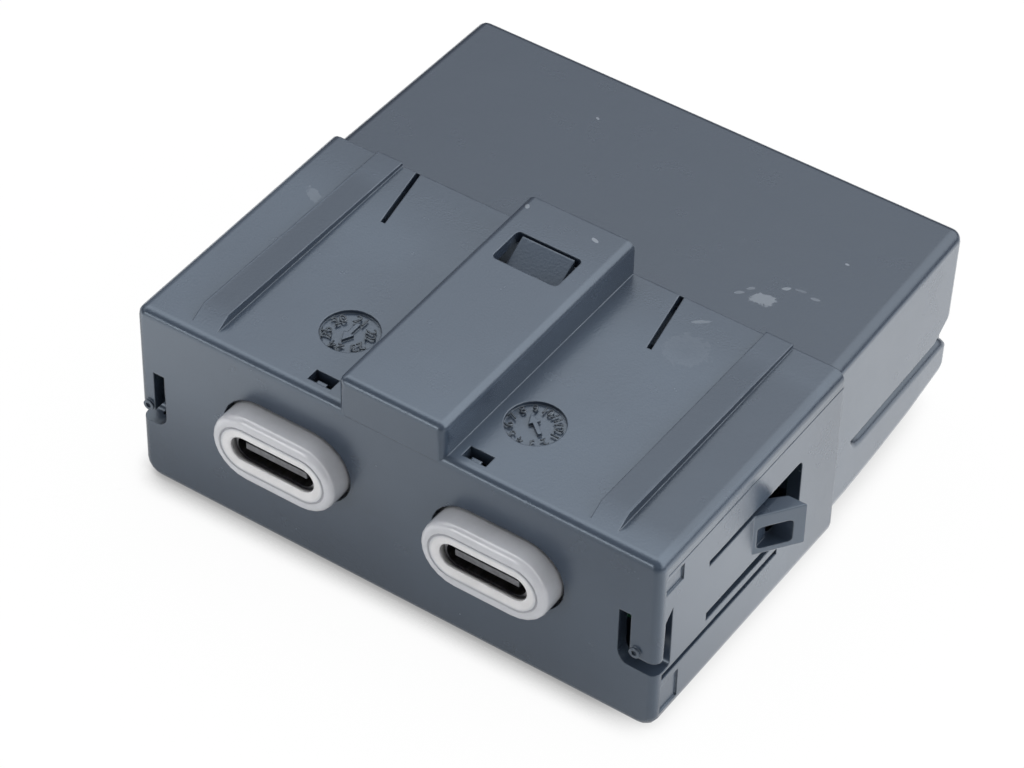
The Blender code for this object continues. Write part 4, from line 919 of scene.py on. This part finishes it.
class USBSOCKET_OT_electronics(bpy.types.Operator):
    """Finish the circuit board and the parts on it"""
    bl_idname = "usbsocket.electronics"
    bl_label = "Board and parts"

    def execute(self, context):
        paint(NODES["circuit_board"], board_finish())
        looks = {
            "chip_black": plain_solid("Moulded epoxy", (0.022, 0.022, 0.025), roughness=0.50),
            "ferrite_grey": plain_solid("Pressed ferrite", (0.080, 0.080, 0.085), roughness=0.62,
                                        scale=FERRITE_SCALE),
            "can_aluminium": plain_metal("Drawn aluminium", (0.72, 0.73, 0.74), roughness=0.30),
            "ceramic_tan": plain_solid("Fired ceramic", (0.40, 0.28, 0.17), roughness=0.50),
            "led_white": plain_solid("LED body", (0.80, 0.80, 0.74), roughness=0.40),
            "pad_grey": plain_solid("Soft thermal pad", (0.33, 0.35, 0.38), roughness=0.85),
            "header_black": plain_solid("Connector plastic", (0.028, 0.029, 0.032), roughness=0.48),
            "pin_tin": plain_metal("Tin plate", (0.74, 0.72, 0.68), roughness=0.28),
        }
        slots = {part["node"]: part["material_slot"] for part in frame["record"]["subparts"]}
        for node, obj in NODES.items():
            if slots[node] in looks:
                paint(obj, looks[slots[node]])
        return {"FINISHED"}


class USBSOCKET_OT_stage(bpy.types.Operator):
    """Set up the floor, the lamps and the camera"""
    bl_idname = "usbsocket.stage"
    bl_label = "Stage"

    def execute(self, context):
        settings = context.scene.usb_socket.stage
        self.floor(settings)
        self.lamps(settings)
        self.camera(context, settings)
        context.scene.view_settings.view_transform = "Standard"
        return {"FINISHED"}

    def floor(self, settings):
        """A pale floor that the camera sees as white and that glossy sides see in graded brightness."""
        bm = bmesh.new()
        bmesh.ops.create_grid(bm, x_segments=1, y_segments=1, size=FLOOR_REACH)
        bmesh.ops.translate(bm, vec=(0.0, 0.0, -FLOOR_GAP), verts=bm.verts)
        floor = mesh_object("floor", bm)
        mat, tree, shader = start_material("Floor")
        shader.inputs["Base Color"].default_value = (*settings.floor, 1.0)
        shader.inputs["Roughness"].default_value = 0.9
        shader.inputs["Specular IOR Level"].default_value = 0.1
        path = tree.nodes.new("ShaderNodeLightPath").outputs
        coords = object_point(tree)
        glossy = path["Is Glossy Ray"]
        mirrored = self.mirrored_floor(tree, coords, settings)
        shadow = self.contact_shadow(tree, split_vector(tree, coords))
        seen = math_node(tree, "ADD", product(tree, glossy, mirrored),
                         product(tree, one_minus(tree, glossy), shadow))
        white = tree.nodes.new("ShaderNodeEmission")
        tree.links.new(seen, white.inputs["Strength"])
        share = math_node(tree, "MAXIMUM", product(tree, path["Is Camera Ray"], CAMERA_SHARE),
                          product(tree, glossy, GLOSSY_SHARE))
        share = math_node(tree, "MAXIMUM", share, product(tree, path["Is Transmission Ray"], CLEAR_SHARE))
        mix = tree.nodes.new("ShaderNodeMixShader")
        tree.links.new(share, mix.inputs["Fac"])
        tree.links.new(shader.outputs[0], mix.inputs[1])
        tree.links.new(white.outputs["Emission"], mix.inputs[2])
        tree.links.new(mix.outputs["Shader"], tree.nodes["Material Output"].inputs["Surface"])
        paint(floor, mat)

    def mirrored_floor(self, tree, coords, settings):
        """How bright glossy faces see the floor, before the object and at its right."""
        point = split_vector(tree, coords)
        along = math_node(tree, "ADD", product(tree, point["X"], FLOOR_SLANT), point["Y"])
        behind = ramp(tree, along, *FLOOR_BEHIND)
        level = graded(tree, behind, settings.mirrored_front, settings.mirrored_right)
        slope = graded(tree, ramp(tree, point["X"], *FLOOR_ACROSS), FLOOR_LEFT, FLOOR_RIGHT)
        close = graded(tree, ramp(tree, math_node(tree, "SUBTRACT", FRONT, point["Y"]), 0.0, CLOSE_DEPTH),
                       CLOSE_LEVEL, OPEN_LEVEL)
        level = product(tree, level, graded(tree, behind, slope, 1.0), graded(tree, behind, close, 1.0))
        far = ramp(tree, vector_node(tree, "LENGTH", coords), *FLOOR_FAR)
        return product(tree, level, graded(tree, far, 1.0, FAR_LEVEL))

    def contact_shadow(self, tree, point):
        """The thin soft shadow along the object's bottom edge, left out at its right."""
        near = tree.nodes.new("ShaderNodeAmbientOcclusion")
        near.samples = SHADOW_SAMPLES
        near.inputs["Distance"].default_value = SHADOW_REACH
        covered = one_minus(tree, ramp(tree, near.outputs["AO"], low=0.30, high=0.92))
        left = one_minus(tree, ramp(tree, point["X"], *SHADOW_END))
        return one_minus(tree, product(tree, covered, left, SHADOW_AMOUNT))

    def lamps(self, settings):
        """A white tent, dark along the horizon and in an opening towards the front, and three lamps."""
        world = bpy.data.worlds.new("Studio")
        bpy.context.scene.world = world
        world.use_nodes = True
        tree = world.node_tree
        back = tree.nodes["Background"]
        ray = tree.nodes.new("ShaderNodeTexCoord").outputs["Generated"]
        opening = vector_node(tree, "DOT_PRODUCT", ray, OPENING_DIRECTION)
        dim = product(tree, ramp(tree, opening, *OPENING_EDGE), settings.opening)
        above = graded(tree, ramp(tree, split_vector(tree, ray)["Z"], *HORIZON), HORIZON_LEVEL, 1.0)
        slant = math_node(tree, "ADD", vector_node(tree, "DOT_PRODUCT", ray, TENT_SLOPE), TENT_LEVEL)
        slant = math_node(tree, "MINIMUM", math_node(tree, "MAXIMUM", slant, TENT_LEAST), TENT_MOST)
        tent = product(tree, one_minus(tree, dim), above, settings.world, slant)
        window = ramp(tree, vector_node(tree, "DOT_PRODUCT", ray, WINDOW_DIRECTION), *WINDOW_EDGE)
        tent = math_node(tree, "ADD", tent, product(tree, window, settings.window))
        seen = tree.nodes.new("ShaderNodeLightPath").outputs["Is Camera Ray"]
        tree.links.new(math_node(tree, "MAXIMUM", seen, tent), back.inputs["Strength"])
        back.inputs["Color"].default_value = (1.0, 1.0, 1.0, 1.0)
        for name, spot, size, radiance in (("key", KEY_PLACE, KEY_SIZE, settings.key),
                                           ("side", SIDE_PLACE, SIDE_SIZE, settings.side),
                                           ("front", FRONT_PLACE, FRONT_SIZE, settings.front)):
            data = bpy.data.lights.new(name, "AREA")
            data.shape = "RECTANGLE"
            data.size, data.size_y = size
            data.energy = radiance * math.pi * size[0] * size[1]
            lamp = bpy.data.objects.new(name, data)
            bpy.context.scene.collection.objects.link(lamp)
            lamp.location = spot
            lamp.visible_glossy = False
            lamp.rotation_euler = (Vector(LAMP_AIM) - lamp.location).to_track_quat("-Z", "Y").to_euler()

    def camera(self, context, settings):
        """The camera as it stood for the photograph."""
        az, el, roll = settings.azimuth, settings.elevation, settings.roll
        forward = Vector((-math.sin(az) * math.cos(el), math.cos(az) * math.cos(el), -math.sin(el)))
        right = Vector((math.cos(az), math.sin(az), 0.0))
        up = right.cross(forward)
        tilted = math.cos(roll) * right + math.sin(roll) * up
        level = tilted.cross(forward)
        data = bpy.data.cameras.new("camera")
        data.lens = settings.lens
        data.sensor_width = SENSOR_WIDTH
        data.sensor_fit = "HORIZONTAL"
        data.clip_start = 0.01
        camera = bpy.data.objects.new("camera", data)
        context.scene.collection.objects.link(camera)
        turn = Matrix((tilted, level, -forward)).transposed()
        camera.matrix_world = Matrix.Translation(settings.position) @ turn.to_4x4()
        context.scene.camera = camera


class USBSOCKET_PT_panel(bpy.types.Panel):
    """Lists the steps that build the socket"""
    bl_label = "USB Socket"
    bl_idname = "USBSOCKET_PT_panel"
    bl_space_type = "VIEW_3D"
    bl_region_type = "UI"
    bl_category = "USB Socket"

    def draw(self, context):
        for step in STEPS:
            self.layout.operator(step.bl_idname)


STEPS = (USBSOCKET_OT_mouldings, USBSOCKET_OT_wheels, USBSOCKET_OT_surrounds, USBSOCKET_OT_receptacles,
         USBSOCKET_OT_electronics, USBSOCKET_OT_stage)
CLASSES = (MouldingSettings, PortSettings, StageSettings, SocketSettings, *STEPS, USBSOCKET_PT_panel)


def register():
    for cls in CLASSES:
        bpy.utils.register_class(cls)
    bpy.types.Scene.usb_socket = bpy.props.PointerProperty(type=SocketSettings)


def unregister():
    del bpy.types.Scene.usb_socket
    for cls in reversed(CLASSES):
        bpy.utils.unregister_class(cls)


def main():
    register()
    bpy.ops.usbsocket.mouldings()
    bpy.ops.usbsocket.wheels()
    bpy.ops.usbsocket.surrounds()
    bpy.ops.usbsocket.receptacles()
    bpy.ops.usbsocket.electronics()
    bpy.ops.usbsocket.stage()


if __name__ == "__main__":
    main()
